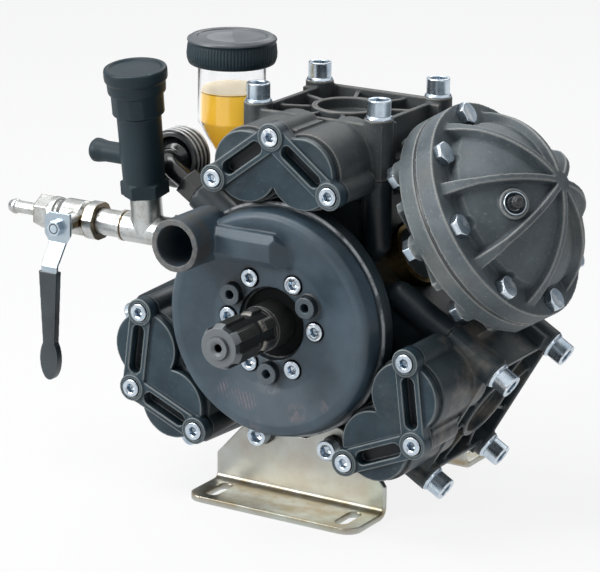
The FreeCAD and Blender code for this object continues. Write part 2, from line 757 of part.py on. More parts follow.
def make_drive_train():
    built("crankshaft", crankshaft_shape())
    make_bearing("front_bearing", "front_bearing_y", "bearing_seat_r + close_gap", "bearing_outer_r")
    make_bearing("rear_bearing", "rear_bearing_y", "bearing_seat_r + close_gap", "bearing_outer_r")
    low, high = "mid_y - journal_half", "mid_y + journal_half"
    turned("eccentric_bearing", [("journal_r", low), ("race_outer_r", low), ("race_outer_r", high), ("journal_r", high)],
           placement=Placement(Vector(0, 0, size("throw")), Rotation()))
    turned("shaft_seal", [("seal_seat_r + slide_gap", "cover_recess_y"), ("seal_outer_r", "cover_recess_y"),
                          ("seal_outer_r", "cover_recess_y + seal_width"),
                          ("seal_seat_r + slide_gap", "cover_recess_y + seal_width")])


# Cylinders

def piston_outline():
    """Half section of a piston with two ring grooves, radius first."""
    shoe = size("race_outer_r") + size("throw") * 3 + size("shoe_clearance")
    skirt = size("sleeve_bore_r") - size("piston_gap")
    crown = size("piston_crown_height")
    groove = skirt - 2.5
    return [(0, shoe), (skirt - 3, shoe), (skirt, shoe + 3), (skirt, crown - 22), (groove, crown - 22),
            (groove, crown - 19), (skirt, crown - 19), (skirt, crown - 12), (groove, crown - 12),
            (groove, crown - 9), (skirt, crown - 9), (skirt, crown - 1), (skirt - 1, crown), (0, crown)]


def revolve_z(outline):
    mid = size("mid_y")
    face = Part.Face(Part.makePolygon([Vector(r, mid, z) for r, z in outline + outline[:1]]))
    return face.revolve(Vector(0, mid, 0), AXIS_Z, 360)


def make_cylinders():
    mid, deck = size("mid_y"), size("deck_height")
    crown, clamp = size("piston_crown_height"), size("clamp_r")
    piston = revolve_z(piston_outline())
    clamp_top = crown + size("clamp_thick")
    disc = revolve_z([(0, crown), (clamp, crown), (clamp, clamp_top - 2), (clamp - 4, clamp_top),
                      (0, clamp_top)])
    top = deck - size("slide_gap")
    sleeve = revolve_z([(size("sleeve_bore_r"), size("sleeve_height")),
                        (size("sleeve_outer_r"), size("sleeve_height")),
                        (size("sleeve_outer_r"), top), (size("sleeve_bore_r"), top)])
    seat = deck + size("close_gap")
    skin = revolve_z([(clamp + size("diaphragm_gap"), seat), (size("diaphragm_r"), seat),
                      (size("diaphragm_r"), seat + size("diaphragm_thick")),
                      (clamp + size("diaphragm_gap"), seat + size("diaphragm_thick"))])
    for side, angle in HEAD_ANGLES.items():
        place = Placement(Vector(0, 0, 0), turn_about_y(angle))
        built("piston_" + side, Part.makeCompound([piston, disc]), place)
    built("cylinder_sleeves", Part.makeCompound([swung(sleeve, angle) for angle in HEAD_ANGLES.values()]))
    built("diaphragms", Part.makeCompound([swung(skin, angle) for angle in HEAD_ANGLES.values()]))


# Heads

def head_recess():
    """The open pocket on top of a head, less its ring and ribs."""
    mid, wall, inset = size("mid_y"), size("head_wall"), size("head_wall_inset")
    half_t = size("deck_half_t") - inset - wall
    half_y = size("deck_half_y") - wall
    low, high = size("head_floor_height"), size("head_boss_height") + 1
    pocket = block((-half_t, half_t), (mid - half_y, mid + half_y), (low, high))
    corners = [rod(size("deck_boss_r"), Vector(t, y, low), Vector(t, y, high)) for t, y in stud_places()]
    ring = rod(size("ring_outer_r"), Vector(0, mid, low), Vector(0, mid, size("head_wall_height") - 1))
    ribs = []
    for step in range(8):
        rib = block((size("ring_inner_r") + 1, 90), (-size("rib_thick") / 2, size("rib_thick") / 2),
                    (low, size("head_wall_height") - 3))
        rib.rotate(Vector(0, 0, 0), AXIS_Z, 45 * step + 22.5)
        rib.translate(Vector(0, mid, 0))
        ribs.append(rib)
    well = rod(size("ring_inner_r"), Vector(0, mid, low + 9), Vector(0, mid, high))
    return pocket.cut(corners + [ring] + ribs).fuse(well)


def head_side_trim():
    """The walls stand back from the corner bosses on both long sides."""
    mid, side, inset = size("mid_y"), size("deck_half_t"), size("head_wall_inset")
    along = size("stud_y") - size("deck_boss_r") - 2
    low = size("head_floor_height") - 10
    return [block((sign * side - inset, sign * side + inset), (mid - along, mid + along),
                  (low, size("head_boss_height") + 1)) for sign in (-1, 1)]


def head_shape():
    mid, deck = size("mid_y"), size("deck_height")
    boss_top, wall_top = size("head_boss_height"), size("head_wall_height")
    side, along = size("deck_half_t"), size("deck_half_y")
    body = block((-side, side), (mid - along, mid + along), (deck, wall_top))
    bosses = [rod(size("deck_boss_r"), Vector(t, y, deck), Vector(t, y, boss_top)) for t, y in stud_places()]
    body = joined([body] + bosses).cut([head_recess()] + head_side_trim())
    housings, bores = [], []
    for t in (-size("lobe_t"), size("lobe_t")):
        housings.append(rod(size("lobe_r"), Vector(t, size("lobe_y"), size("lobe_height")),
                            Vector(t, size("lobe_back_y"), size("lobe_height"))))
        bores.append(rod(size("valve_bore_r"), Vector(t, size("lobe_y") - 1, size("lobe_height")),
                         Vector(t, size("valve_bore_y"), size("lobe_height"))))
        bores.append(rod(size("port_hole_r"), Vector(t, size("valve_bore_y") - 1, deck + 8.5),
                         Vector(t, mid - size("chamber_r") + 12, deck + 8.5)))
    for t, rho in valve_screw_places():
        housings.append(rod(size("ear_r") - 1, Vector(t, size("lobe_y"), rho),
                            Vector(t, size("lobe_low_back_y"), rho)))
        bores.append(rod(size("screw_hole_r"), Vector(t, size("lobe_y") - 1, rho), Vector(t, 46, rho)))
    under = block((-70, 70), (size("lobe_low_back_y"), size("lobe_back_y") + 1), (60, deck))
    chamber = rod(size("chamber_r"), Vector(0, mid, deck), Vector(0, mid, size("chamber_top_height")))
    seat = rod(size("diaphragm_r") + 0.3, Vector(0, mid, deck - 1),
               Vector(0, mid, deck + size("diaphragm_thick") + size("slide_gap")))
    stud_holes = [rod(size("stud_hole_r") + 0.4, Vector(t, y, deck - 1), Vector(t, y, boss_top + 1))
                  for t, y in stud_places()]
    web = block((-12, 12), (size("lobe_y"), size("lobe_low_back_y")),
                (size("wing_height") - 8, size("lobe_height")))
    saddle_half = size("saddle_half")
    saddle = block((-saddle_half, saddle_half), (size("lobe_y") + 3, size("lobe_low_back_y")),
                   (size("lobe_height"), wall_top))
    shape = joined([body] + housings + [web, saddle])
    return shape.cut([under, chamber, seat] + stud_holes + bores).removeSplitter()


def bar_between(first, second, half, low, high):
    """A straight bar with round ends between two places, from y low to y high."""
    start, end = Vector(first[0], low, first[1]), Vector(second[0], low, second[1])
    side = (end - start).cross(AXIS_Y).normalize() * half
    strip = slab([start - side, end - side, end + side, start + side], AXIS_Y * (high - low))
    ends = [rod(half, place, place + AXIS_Y * (high - low)) for place in (start, end)]
    return joined([strip] + ends)


def valve_cover_shape():
    """Two disc lobes under a chevron bar with two slots and three screw ears."""
    back = size("lobe_y")
    apex, right, left = valve_screw_places()
    solids = [rod(size("cover_lobe_r"), Vector(t, size("valve_cover_y"), size("lobe_height")),
                  Vector(t, back, size("lobe_height"))) for t in (-size("lobe_t"), size("lobe_t"))]
    tools = []
    for wing in (right, left):
        solids.append(bar_between(apex, wing, size("bar_half"), size("bar_y"), back))
        way = Vector(wing[0] - apex[0], 0, wing[1] - apex[1])
        step = way.normalize() * size("slot_end_gap")
        near = (apex[0] + step.x, apex[1] + step.z)
        far = (wing[0] - step.x * 0.95, wing[1] - step.z * 0.95)
        tools.append(bar_between(near, far, size("slot_half"), size("bar_y") - 1, size("slot_floor_y")))
    seat = size("ear_screw_y") + size("screw_head_tall")
    for t, rho in (apex, right, left):
        solids.append(rod(size("ear_r"), Vector(t, size("ear_y"), rho), Vector(t, back, rho)))
        tools.append(rod(size("screw_seat_r"), Vector(t, size("ear_y") - 1, rho), Vector(t, seat, rho)))
        tools.append(rod(size("screw_hole_r"), Vector(t, seat, rho), Vector(t, back + 1, rho)))
    return joined(solids).cut(tools).removeSplitter()


def make_heads():
    head, cover = head_shape(), valve_cover_shape()
    for side, angle in HEAD_ANGLES.items():
        place = Placement(Vector(0, 0, 0), turn_about_y(angle))
        built("head_" + side, head, place)
        built("valve_cover_" + side, cover, place)
    studs, washers, screws = [], [], []
    under = size("stud_top_height") - size("stud_head_tall")
    for angle in HEAD_ANGLES.values():
        for t, y in stud_places():
            stud = socket_screw(size("stud_r"), size("stud_head_r"), size("stud_head_tall"),
                                size("stud_socket"),
                                size("stud_long"), Vector(t, y, size("stud_top_height")), -AXIS_Z)
            ring = rod(size("washer_r"), Vector(t, y, size("head_boss_height")), Vector(t, y, under))
            ring = ring.cut(rod(size("stud_hole_r") + 0.2, Vector(t, y, 140), Vector(t, y, under + 1)))
            studs.append(swung(stud, angle))
            washers.append(swung(ring, angle))
        for t, rho in valve_screw_places():
            screw = socket_screw(size("screw_r"), size("screw_head_r"), size("screw_head_tall"),
                                 size("screw_socket"), 35, Vector(t, size("ear_screw_y"), rho), AXIS_Y)
            screws.append(swung(screw, angle))
    built("head_bolts", Part.makeCompound(studs))
    built("head_washers", Part.makeCompound(washers))
    built("valve_cover_screws", Part.makeCompound(screws))


def valve_pieces(t, towards):
    """Seat and cage of one valve, and its plate. The plate lifts along +Y or -Y."""
    rho, seat_y = size("lobe_height"), size("seat_y")
    cage_r = size("cage_r")
    thick, lift, plate = size("seat_thick"), size("valve_lift"), size("plate_thick")
    seat_face = seat_y if towards < 0 else seat_y - thick * 2
    seat_back = seat_face - towards * thick
    ring = rod(cage_r, Vector(t, seat_back, rho), Vector(t, seat_face, rho))
    ring = ring.cut(rod(size("seat_hole_r"), Vector(t, seat_back - towards, rho),
                        Vector(t, seat_face + towards, rho)))
    stop = seat_face + towards * (plate + lift + 0.3)
    cage = rod(cage_r, Vector(t, seat_face, rho), Vector(t, stop + towards * 2.5, rho))
    cage = cage.cut([rod(size("plate_r") + 0.4, Vector(t, seat_face - towards, rho), Vector(t, stop, rho)),
                     rod(size("seat_hole_r") + 2, Vector(t, stop - towards, rho),
                         Vector(t, stop + towards * 4, rho))])
    start = seat_face + towards * size("slide_gap")
    disc = rod(size("plate_r"), Vector(t, start, rho), Vector(t, start + towards * plate, rho))
    return ring.fuse(cage).removeSplitter(), disc


def make_valves():
    seats = []
    for side, angle in HEAD_ANGLES.items():
        for name, t, towards in (("suction", -size("lobe_t"), 1), ("delivery", size("lobe_t"), -1)):
            seat, disc = valve_pieces(t, towards)
            seats.append(swung(seat, angle))
            built(f"{name}_valve_{side}", disc, Placement(Vector(0, 0, 0), turn_about_y(angle)))
    built("valve_seats", Part.makeCompound(seats))


# Pulsation damper, drawn along +Z from the shaft axis and turned to its place

def damper_place():
    return Placement(Vector(0, size("mid_y"), 0), turn_about_y(DAMPER_ANGLE))


def damper_bolt_points(rho):
    """Bolt places in the damper's own frame, where -Y leads the phase."""
    points = []
    for step in range(8):
        angle = math.radians(size("damper_phase") + 45 * step)
        circle_r = size("damper_bolt_circle_r")
        points.append(Vector(circle_r * math.sin(angle), -circle_r * math.cos(angle), rho))
    return points


def cap_arc(radius, tall, base):
    """A quarter of a spherical cap's outline: from its rim to its pole."""
    sphere = (radius ** 2 + tall ** 2) / (2 * tall)
    centre = base + tall - sphere
    half = math.asin(min(radius / sphere, 1.0)) / 2
    between = Vector(sphere * math.sin(half), 0, centre + sphere * math.cos(half))
    return Part.Arc(Vector(radius, 0, base), between,
                    Vector(0, 0, base + tall)).toShape()


def cap_solid(radius, tall, base):
    arc = cap_arc(radius, tall, base)
    floor = Part.LineSegment(Vector(0, 0, base), Vector(radius, 0, base)).toShape()
    back = Part.LineSegment(Vector(0, 0, base + tall), Vector(0, 0, base)).toShape()
    return Part.Face(Part.Wire([floor, arc, back])).revolve(Vector(0, 0, 0), AXIS_Z, 360)


def dome_ribs(seat):
    """Eight ribs over the dome, each with a foot that spreads towards the flange."""
    crest = cap_solid(size("damper_rib_r"), size("damper_rib_tall"), seat)
    thin, reach = size("damper_rib_thick") / 2, size("damper_rib_r")
    outline = [Vector(0, -thin, seat), Vector(reach - 15, -thin * 1.1, seat), Vector(reach, -thin * 2, seat),
               Vector(reach, thin * 2, seat), Vector(reach - 15, thin * 1.1, seat), Vector(0, thin, seat)]
    ribs = []
    for step in range(8):
        rib = slab(outline, AXIS_Z * 80)
        rib.rotate(Vector(0, 0, 0), AXIS_Z, size("damper_phase") + 22.5 + 45 * step)
        ribs.append(rib)
    return crest.common(joined(ribs))


def dome_shape():
    """Flange, upright step inside the bolts, bulging shell, ribs and the air valve's boss."""
    seat, split = size("damper_seat_height"), size("damper_split_height") + size("membrane_thick")
    radius, step_top = size("damper_dome_r"), seat + size("damper_step_tall")
    flange = rod(size("damper_flange_r"), Vector(0, 0, split), Vector(0, 0, seat))
    step = taper(radius + 0.8, radius, Vector(0, 0, seat - 1), Vector(0, 0, step_top))
    shell = cap_solid(radius, size("damper_dome_tall") - size("damper_step_tall"), step_top)
    pockets = [rod(size("damper_pocket_r"), point, point + AXIS_Z * 30) for point in damper_bolt_points(seat)]
    boss_start, way = air_valve_seat()
    boss = rod(size("air_boss_r"), boss_start - way * 8, boss_start + way * 3)
    shape = joined([step, shell]).cut(pockets)
    shape = joined([flange, shape, dome_ribs(seat), boss])
    wall = size("damper_wall")
    hollow_tall = size("damper_dome_tall") - wall + seat - split
    hollow = cap_solid(radius - wall, hollow_tall, split - size("close_gap"))
    hole_r = size("damper_screw_r") + size("slide_gap")
    holes = [rod(hole_r, point, point + AXIS_Z * 30) for point in damper_bolt_points(split - 1)]
    valve_r = size("air_valve_r")
    well = rod(valve_r + 0.8, boss_start + way * 1, boss_start + way * 4)
    bore = rod(valve_r + size("slide_gap"), boss_start - way * 20, boss_start + way * 4)
    return shape.cut([hollow, well, bore] + holes).removeSplitter()


def air_valve_seat():
    """Where the air valve stands on the dome, and the direction it points in."""
    radius, tall = size("damper_dome_r"), size("damper_dome_tall") - size("damper_step_tall")
    sphere = (radius ** 2 + tall ** 2) / (2 * tall)
    centre = size("damper_seat_height") + size("damper_dome_tall") - sphere
    away = size("air_valve_height")
    place = Vector(0, -away, centre + math.sqrt(sphere ** 2 - away ** 2))
    return place, (place - Vector(0, 0, centre)).normalize()


def base_shape():
    """The bowl behind the membrane: neck, skirt, rim, nut lugs and gussets."""
    neck_r, neck, skirt = size("damper_neck_r"), size("damper_neck_height"), size("damper_skirt_height")
    split, bore_r = size("damper_split_height"), size("nipple_r") + size("slide_gap")
    rim_r, rim, bowl_r = size("damper_flange_r"), size("damper_rim_height"), size("damper_dome_r")
    outline = [(bore_r, neck), (neck_r, neck), (neck_r, skirt - 20), (size("damper_skirt_r"), skirt),
               (rim_r, rim),
               (rim_r, split), (bowl_r - 8, split), (bowl_r - 26, skirt + 4), (bore_r, skirt - 10)]
    face = Part.Face(Part.makePolygon([Vector(r, 0, z) for r, z in outline + outline[:1]]))
    bowl = face.revolve(Vector(0, 0, 0), AXIS_Z, 360)
    lug_low, lug_r = size("damper_lug_height"), size("damper_lug_r")
    lugs = [rod(lug_r, point, point + AXIS_Z * (split - lug_low)) for point in damper_bolt_points(lug_low)]
    hole_r = size("damper_screw_r") + size("slide_gap")
    nut_r = size("hexagon_half") / math.cos(math.pi / 6) + size("nut_clear")
    holes = [rod(hole_r, point, point + AXIS_Z * 40) for point in damper_bolt_points(lug_low - 1)]
    holes += [rod(nut_r, point, point + AXIS_Z * 12) for point in damper_bolt_points(lug_low - 12)]
    rounded = rod(rim_r, Vector(0, 0, neck), Vector(0, 0, split))
    return joined([bowl] + lugs + base_gussets()).common(rounded).cut(holes).removeSplitter()


def base_gussets():
    """Eight upright webs on the back of the base, between the lugs."""
    neck_r, neck, skirt = size("damper_neck_r"), size("damper_neck_height"), size("damper_skirt_height")
    rim_r, rim, half = size("damper_flange_r") - 2, size("damper_rim_height"), size("gusset_thick") / 2
    outline = [Vector(neck_r - 1, -half, neck + 14), Vector(rim_r, -half, rim - 7),
               Vector(rim_r, -half, rim + 2),
               Vector(neck_r - 1, -half, skirt)]
    webs = []
    for step in range(8):
        web = slab(outline, AXIS_Y * 2 * half)
        web.rotate(Vector(0, 0, 0), AXIS_Z, size("damper_phase") + 22.5 + 45 * step)
        webs.append(web)
    return webs


def make_damper():
    place = damper_place()
    seat, split = size("damper_seat_height"), size("damper_split_height")
    built("damper_dome", dome_shape(), place)
    built("damper_base", base_shape(), place)
    bolts, nuts = [], []
    tall, half = size("hex_head_tall"), size("hexagon_half")
    nut_low = size("damper_lug_height") - size("nut_tall")
    thread_r = size("damper_screw_r")
    hole_r = thread_r + size("slide_gap")
    for point in damper_bolt_points(seat):
        low = Vector(point.x, point.y, nut_low - 1.5)
        bolts.append(prism(half, point, point + AXIS_Z * tall, 15).fuse(rod(thread_r, low, point)))
        start = Vector(point.x, point.y, nut_low)
        nut = prism(half, start, start + AXIS_Z * size("nut_tall"), 15)
        nuts.append(nut.cut(rod(hole_r, start - AXIS_Z, start + AXIS_Z * 9)))
    built("damper_bolts", Part.makeCompound(bolts), place)
    built("damper_nuts", Part.makeCompound(nuts), place)
    sheet_top = split + size("membrane_thick")
    skin = rod(size("damper_flange_r") - 0.4, Vector(0, 0, split), Vector(0, 0, sheet_top))
    skin = skin.cut([rod(hole_r, point, point + AXIS_Z * 9) for point in damper_bolt_points(split - 2)])
    built("damper_membrane", skin, place)
    turned("damper_nipple", [("nipple_bore_r", "damper_boss_height - 14"),
                             ("nipple_r", "damper_boss_height - 14"),
                             ("nipple_r", "damper_boss_height"), ("nipple_ring_r", "damper_boss_height"),
                             ("nipple_ring_r", "damper_neck_height"), ("nipple_r", "damper_neck_height"),
                             ("nipple_r", "damper_neck_height + 14"), ("nipple_bore_r", "damper_neck_height + 14")],
           axis="Z", placement=place)
    start, way = air_valve_seat()
    valve = rod(size("air_valve_r"), start - way * 5, start + way * size("air_valve_tall"))
    valve = valve.fuse(rod(size("air_stem_r"), start, start + way * size("air_stem_tall")))
    built("air_valve", valve, place)


# Feet

def bracket_shape():
    """The front foot: a bent plate with two ears above and two slots below."""
    plate_y, sheet_t = size("foot_plate_y"), size("foot_sheet")
    half, floor = size("foot_half"), size("foot_floor_z")
    bend, reach = size("foot_bend_r"), size("foot_reach")
    back = plate_y + sheet_t
    outer = bend + sheet_t
    root = math.sqrt(0.5)
    points = [Vector(-half, back, 0), Vector(-half, back, floor + outer),
              Vector(-half, back - outer + outer * root, floor + outer - outer * root),
              Vector(-half, back - outer, floor), Vector(-half, plate_y - reach, floor),
              Vector(-half, plate_y - reach, floor + sheet_t), Vector(-half, back - outer, floor + sheet_t),
              Vector(-half, back - outer + bend * root, floor + outer - bend * root),
              Vector(-half, plate_y, floor + outer), Vector(-half, plate_y, 0)]
    wire = Part.Wire([Part.LineSegment(points[0], points[1]).toShape(),
                      Part.Arc(points[1], points[2], points[3]).toShape(),
                      Part.LineSegment(points[3], points[4]).toShape(),
                      Part.LineSegment(points[4], points[5]).toShape(),
                      Part.LineSegment(points[5], points[6]).toShape(),
                      Part.Arc(points[6], points[7], points[8]).toShape(),
                      Part.LineSegment(points[8], points[9]).toShape(),
                      Part.LineSegment(points[9], points[0]).toShape()])
    sheet_metal = Part.Face(wire).extrude(Vector(2 * half, 0, 0))
    front_outline = bracket_front_outline().extrude(AXIS_Y * (reach + outer + sheet_t))
    top_outline = bracket_top_outline().extrude(AXIS_Z * (-floor + 10))
    shape = sheet_metal.common(front_outline).common(top_outline)
    cuts = []
    for x in (-size("foot_slot_x"), size("foot_slot_x")):
        run = size("foot_slot_long") / 2 - size("foot_slot_r")
        ends = [Vector(x, size("foot_slot_y") + sign * run, floor - 1) for sign in (-1, 1)]
        cuts += [rod(size("foot_slot_r"), end, end + AXIS_Z * 10) for end in ends]
        cuts.append(block((x - size("foot_slot_r"), x + size("foot_slot_r")), (ends[0].y, ends[1].y),
                          (floor - 1, floor + 9)))
    for x in (-size("foot_ear_x"), size("foot_ear_x")):
        cuts.append(rod(size("foot_screw_r") + size("slide_gap"), Vector(x, plate_y - 1, size("foot_ear_z")),
                        Vector(x, back + 1, size("foot_ear_z"))))
    return shape.cut(cuts)


def bracket_front_outline():
    """Seen from the front: full width below the shoulders, then two round ears."""
    half, ear_x, ear_z, ear_r = (size(name) for name in ("foot_half", "foot_ear_x", "foot_ear_z", "foot_ear_r"))
    y = size("foot_plate_y") - size("foot_reach") - 1
    low, shoulder = size("foot_floor_z") - 1, size("foot_shoulder_z")
    root = ear_r * math.sqrt(0.5)
    dip = ear_z + 2
    def at(x, z):
        return Vector(x, y, z)
    edges = [Part.LineSegment(at(-half, low), at(-half, shoulder)),
             Part.LineSegment(at(-half, shoulder), at(-ear_x - root, ear_z + root)),
             Part.Arc(at(-ear_x - root, ear_z + root), at(-ear_x, ear_z + ear_r), at(-ear_x + root, ear_z + root)),
             Part.LineSegment(at(-ear_x + root, ear_z + root), at(-6, dip)),
             Part.LineSegment(at(-6, dip), at(6, dip)),
             Part.LineSegment(at(6, dip), at(ear_x - root, ear_z + root)),
             Part.Arc(at(ear_x - root, ear_z + root), at(ear_x, ear_z + ear_r), at(ear_x + root, ear_z + root)),
             Part.LineSegment(at(ear_x + root, ear_z + root), at(half, shoulder)),
             Part.LineSegment(at(half, shoulder), at(half, low)),
             Part.LineSegment(at(half, low), at(-half, low))]
    return Part.Face(Part.Wire([edge.toShape() for edge in edges]))


def bracket_top_outline():
    """Seen from above: the flange's two front corners are rounded."""
    half, corner = size("foot_half"), size("foot_corner")
    front = size("foot_plate_y") - size("foot_reach")
    back = size("foot_plate_y") + size("foot_sheet")
    z = size("foot_floor_z") - 1
    cut = corner * (1 - math.sqrt(0.5))
    def at(x, y):
        return Vector(x, y, z)
    edges = [Part.LineSegment(at(-half, back), at(-half, front + corner)),
             Part.Arc(at(-half, front + corner), at(-half + cut, front + cut), at(-half + corner, front)),
             Part.LineSegment(at(-half + corner, front), at(half - corner, front)),
             Part.Arc(at(half - corner, front), at(half - cut, front + cut), at(half, front + corner)),
             Part.LineSegment(at(half, front + corner), at(half, back)),
             Part.LineSegment(at(half, back), at(-half, back))]
    return Part.Face(Part.Wire([edge.toShape() for edge in edges]))


def make_feet():
    mid, plate_y, ear_z = size("mid_y"), size("foot_plate_y"), size("foot_ear_z")
    front = bracket_shape()
    built("foot_bracket_front", front)
    built("foot_bracket_rear", front.mirror(Vector(0, mid, 0), AXIS_Y))
    screws, collars = [], []
    head_r, head_tall, thread_r = size("foot_head_r"), size("foot_head_tall"), size("foot_screw_r")
    seat = plate_y - size("foot_collar_thick")
    for x in (-size("foot_ear_x"), size("foot_ear_x")):
        top = Vector(x, seat - head_tall, ear_z)
        screw = socket_screw(thread_r, head_r, head_tall, size("foot_socket"), 25, top, AXIS_Y)
        collar = rod(head_r + 1, Vector(x, seat, ear_z), Vector(x, plate_y, ear_z))
        hole = rod(thread_r + size("slide_gap"), Vector(x, seat - 1, ear_z), Vector(x, plate_y + 1, ear_z))
        collar = collar.cut(hole)
        screws += [screw, screw.mirror(Vector(0, mid, 0), AXIS_Y)]
        collars += [collar, collar.mirror(Vector(0, mid, 0), AXIS_Y)]
    built("bracket_screws", Part.makeCompound(screws))
    built("bracket_collars", Part.makeCompound(collars))


# Delivery line: tee, union, ball valve and hose tail, drawn along +Z and laid along -X

def line_place():
    return Placement(Vector(size("tee_x"), size("line_y"), size("line_z")), Rotation(AXIS_Y, -90))


def line_point(along):
    return Vector(size("tee_x") - along, size("line_y"), size("line_z"))


def regulator_way():
    lean = math.radians(size("regulator_lean"))
    return Vector(0, -math.sin(lean), math.cos(lean))


def make_tee():
    """Nickel tee with a hexagon nipple into the crankcase and a stub up to the regulator."""
    centre, way = line_point(0), regulator_way()
    run = rod(size("tee_r"), line_point(-size("tee_nipple")), line_point(size("tee_reach")))
    boss_face = Vector(size("line_boss_x"), size("line_y"), size("line_z"))
    collar = rod(size("tee_r") - 1, boss_face, line_point(-size("tee_nipple")))
    nipple = prism(size("tee_r") + 1.5, boss_face - AXIS_X * 12, line_point(-size("tee_nipple")))
    spigot = rod(size("line_tube_r") - 1.05, boss_face, boss_face + AXIS_X * 14)
    stub = rod(size("regulator_tube_r"), centre, centre + way * size("regulator_hex_low"))
    built("regulator_tee", joined([run, collar, nipple, spigot, stub]))


def make_ball_valve():
    turned("line_union", [("0", "tee_reach"), ("line_ring_r", "tee_reach"),
                          ("line_ring_r", "tee_reach + 3.5"),
                          ("line_tube_r", "tee_reach + 3.5"), ("line_tube_r", "tee_x - ball_x - 8.1"),
                          ("0", "tee_x - ball_x - 8.1")], axis="Z", placement=line_place())
    ball_at = size("tee_x") - size("ball_x")
    start = ball_at - 8
    nut_low, nut_high = line_point(start - size("union_thick")), line_point(start)
    nut = prism(size("union_r"), nut_low, nut_high, 30).common(rod(size("union_r") + 0.8, nut_low, nut_high))
    built("union_nut", nut.cut(rod(size("line_tube_r") + size("close_gap"), nut_low, nut_high)))
    body_r = size("ball_body_r")
    neck = rod(size("tee_r") - 1, line_point(start), line_point(ball_at + 26))
    belly = rod(body_r, line_point(ball_at - 3), line_point(ball_at + 14))
    shoulders = [taper(body_r - 3, body_r, line_point(ball_at - 7), line_point(ball_at - 3)),
                 taper(body_r, body_r - 3, line_point(ball_at + 14), line_point(ball_at + 19))]
    collar = rod(body_r - 0.5, line_point(ball_at + 22), line_point(ball_at + 27))
    hexagon = prism(size("tee_r"), line_point(ball_at + 27), line_point(ball_at + 40))
    centre = line_point(ball_at)
    bonnet = rod(size("stem_r") + 3.5, centre, centre - AXIS_Y * 24)
    body = joined([neck, belly, collar, hexagon, bonnet] + shoulders)
    cavity = [Part.makeSphere(size("ball_r") + size("ball_gap"), centre, AXIS_X),
              rod(size("stem_r") + size("ball_gap"), centre, centre - AXIS_Y * 30),
              rod(size("ball_bore_r"), line_point(start - 1), line_point(ball_at + 41))]
    built("ball_valve_body", body.cut(cavity))
    ball = Part.makeSphere(size("ball_r"), centre)
    stem = rod(size("stem_r"), centre, Vector(size("ball_x"), size("lever_y") - 1, size("line_z")))
    bore = rod(size("ball_bore_r"), centre - AXIS_Z * 12, centre + AXIS_Z * 12)
    built("valve_ball", ball.fuse(stem).cut(bore))
    make_lever()
    make_hose_tail(ball_at + 40)


def make_lever():
    """A cranked blade on the stem with a dipped grip, hanging in the shut position."""
    x, y, z = size("ball_x"), size("lever_y"), size("line_z")
    sheet_t, head = size("lever_sheet"), size("lever_head_r")
    low = y - sheet_t
    bend_z, grip_y, grip_top = z - 12, y - size("lever_crank"), size("grip_top_z")
    outline = [Vector(x - head, low, z + head - 4), Vector(x - head + 5, low, z + head),
               Vector(x + head, low, z + head), Vector(x + head, low, z - 6), Vector(x + 8, low, bend_z),
               Vector(x - 8, low, bend_z), Vector(x - head, low, z - 6)]
    head_plate = slab(outline, AXIS_Y * sheet_t)
    tip_z = size("lever_tip_z") + 8
    side = [Vector(x - 7, low, bend_z), Vector(x - 7, y, bend_z),
            Vector(x - 7, grip_y + sheet_t, grip_top + 4),
            Vector(x - 7, grip_y + sheet_t, tip_z), Vector(x - 7, grip_y, tip_z), Vector(x - 7, grip_y, grip_top + 4)]
    half_top, half_low = size("grip_half") - 1, size("grip_waist") - 2
    front = [Vector(x - 8, 0, bend_z), Vector(x + 8, 0, bend_z), Vector(x + half_top, 0, grip_top),
             Vector(x + half_low, 0, tip_z), Vector(x - half_low, 0, tip_z), Vector(x - half_top, 0, grip_top)]
    shank = slab(side, Vector(16, 0, 0)).fuse(slab(side, Vector(-2, 0, 0))).common(slab(front, AXIS_Y * 60))
    hole = rod(size("stem_r") + size("close_gap"), Vector(x, low - 1, z), Vector(x, y + 1, z))
    blade = head_plate.fuse(shank).cut(hole).removeSplitter()
    built("valve_lever", blade)
    built("lever_nut", prism(5.5, Vector(x, low, z), Vector(x, low - 5, z)))
    built("lever_grip", grip_shape(x, grip_y + sheet_t / 2).cut(blade))


def grip_shape(x, middle):
    """The dipped grip: flat on top, narrowing to a waist, with a long oval end."""
    top, tip = size("grip_top_z"), size("lever_tip_z")
    half, waist, thick = size("grip_half"), size("grip_waist"), size("grip_thick")
    bulb_half, bulb_tall = size("grip_bulb_half"), size("grip_bulb_tall")
    low, centre = middle - thick / 2, tip + bulb_tall
    bar = slab([Vector(x - half, low, top), Vector(x + half, low, top), Vector(x + waist, low, centre + 8),
                Vector(x + waist, low, centre), Vector(x - waist, low, centre), Vector(x - waist, low, centre + 8)],
               AXIS_Y * thick)
    oval = Part.Ellipse(Vector(0, 0, 0), bulb_tall, bulb_half).toShape()
    bulb = Part.Face(Part.Wire([oval])).extrude(Vector(0, 0, thick))
    bulb.Placement = Placement(Vector(x, middle + thick / 2, centre), Rotation(AXIS_Z, 0)) \
        .multiply(Placement(Vector(0, 0, 0), Rotation(AXIS_X, 90).multiply(Rotation(AXIS_Z, 90))))
    return bar.fuse(bulb).removeSplitter()


def make_hose_tail(start):
    """A smooth tail with one barb at its end and a bore, screwed into the valve's hexagon."""
    tail_r, lip_r, land = size("tail_r"), size("tail_lip_r"), size("tail_land")
    land_at, end = start + size("tail_land_at"), start + size("tail_long")
    steps = [rod(tail_r + 2.5, line_point(start), line_point(start + 2)),
             rod(tail_r, line_point(start), line_point(land_at)),
             taper(tail_r, lip_r, line_point(land_at - land), line_point(land_at - land / 2)),
             rod(lip_r, line_point(land_at - land / 2), line_point(land_at + land / 2)),
             taper(lip_r, tail_r - 0.6, line_point(land_at + land / 2), line_point(end))]
    bore = rod(size("tail_bore_r"), line_point(start - 1), line_point(end + 1))
    built("hose_tail", joined(steps).cut(bore))


# Pressure regulator above the tee

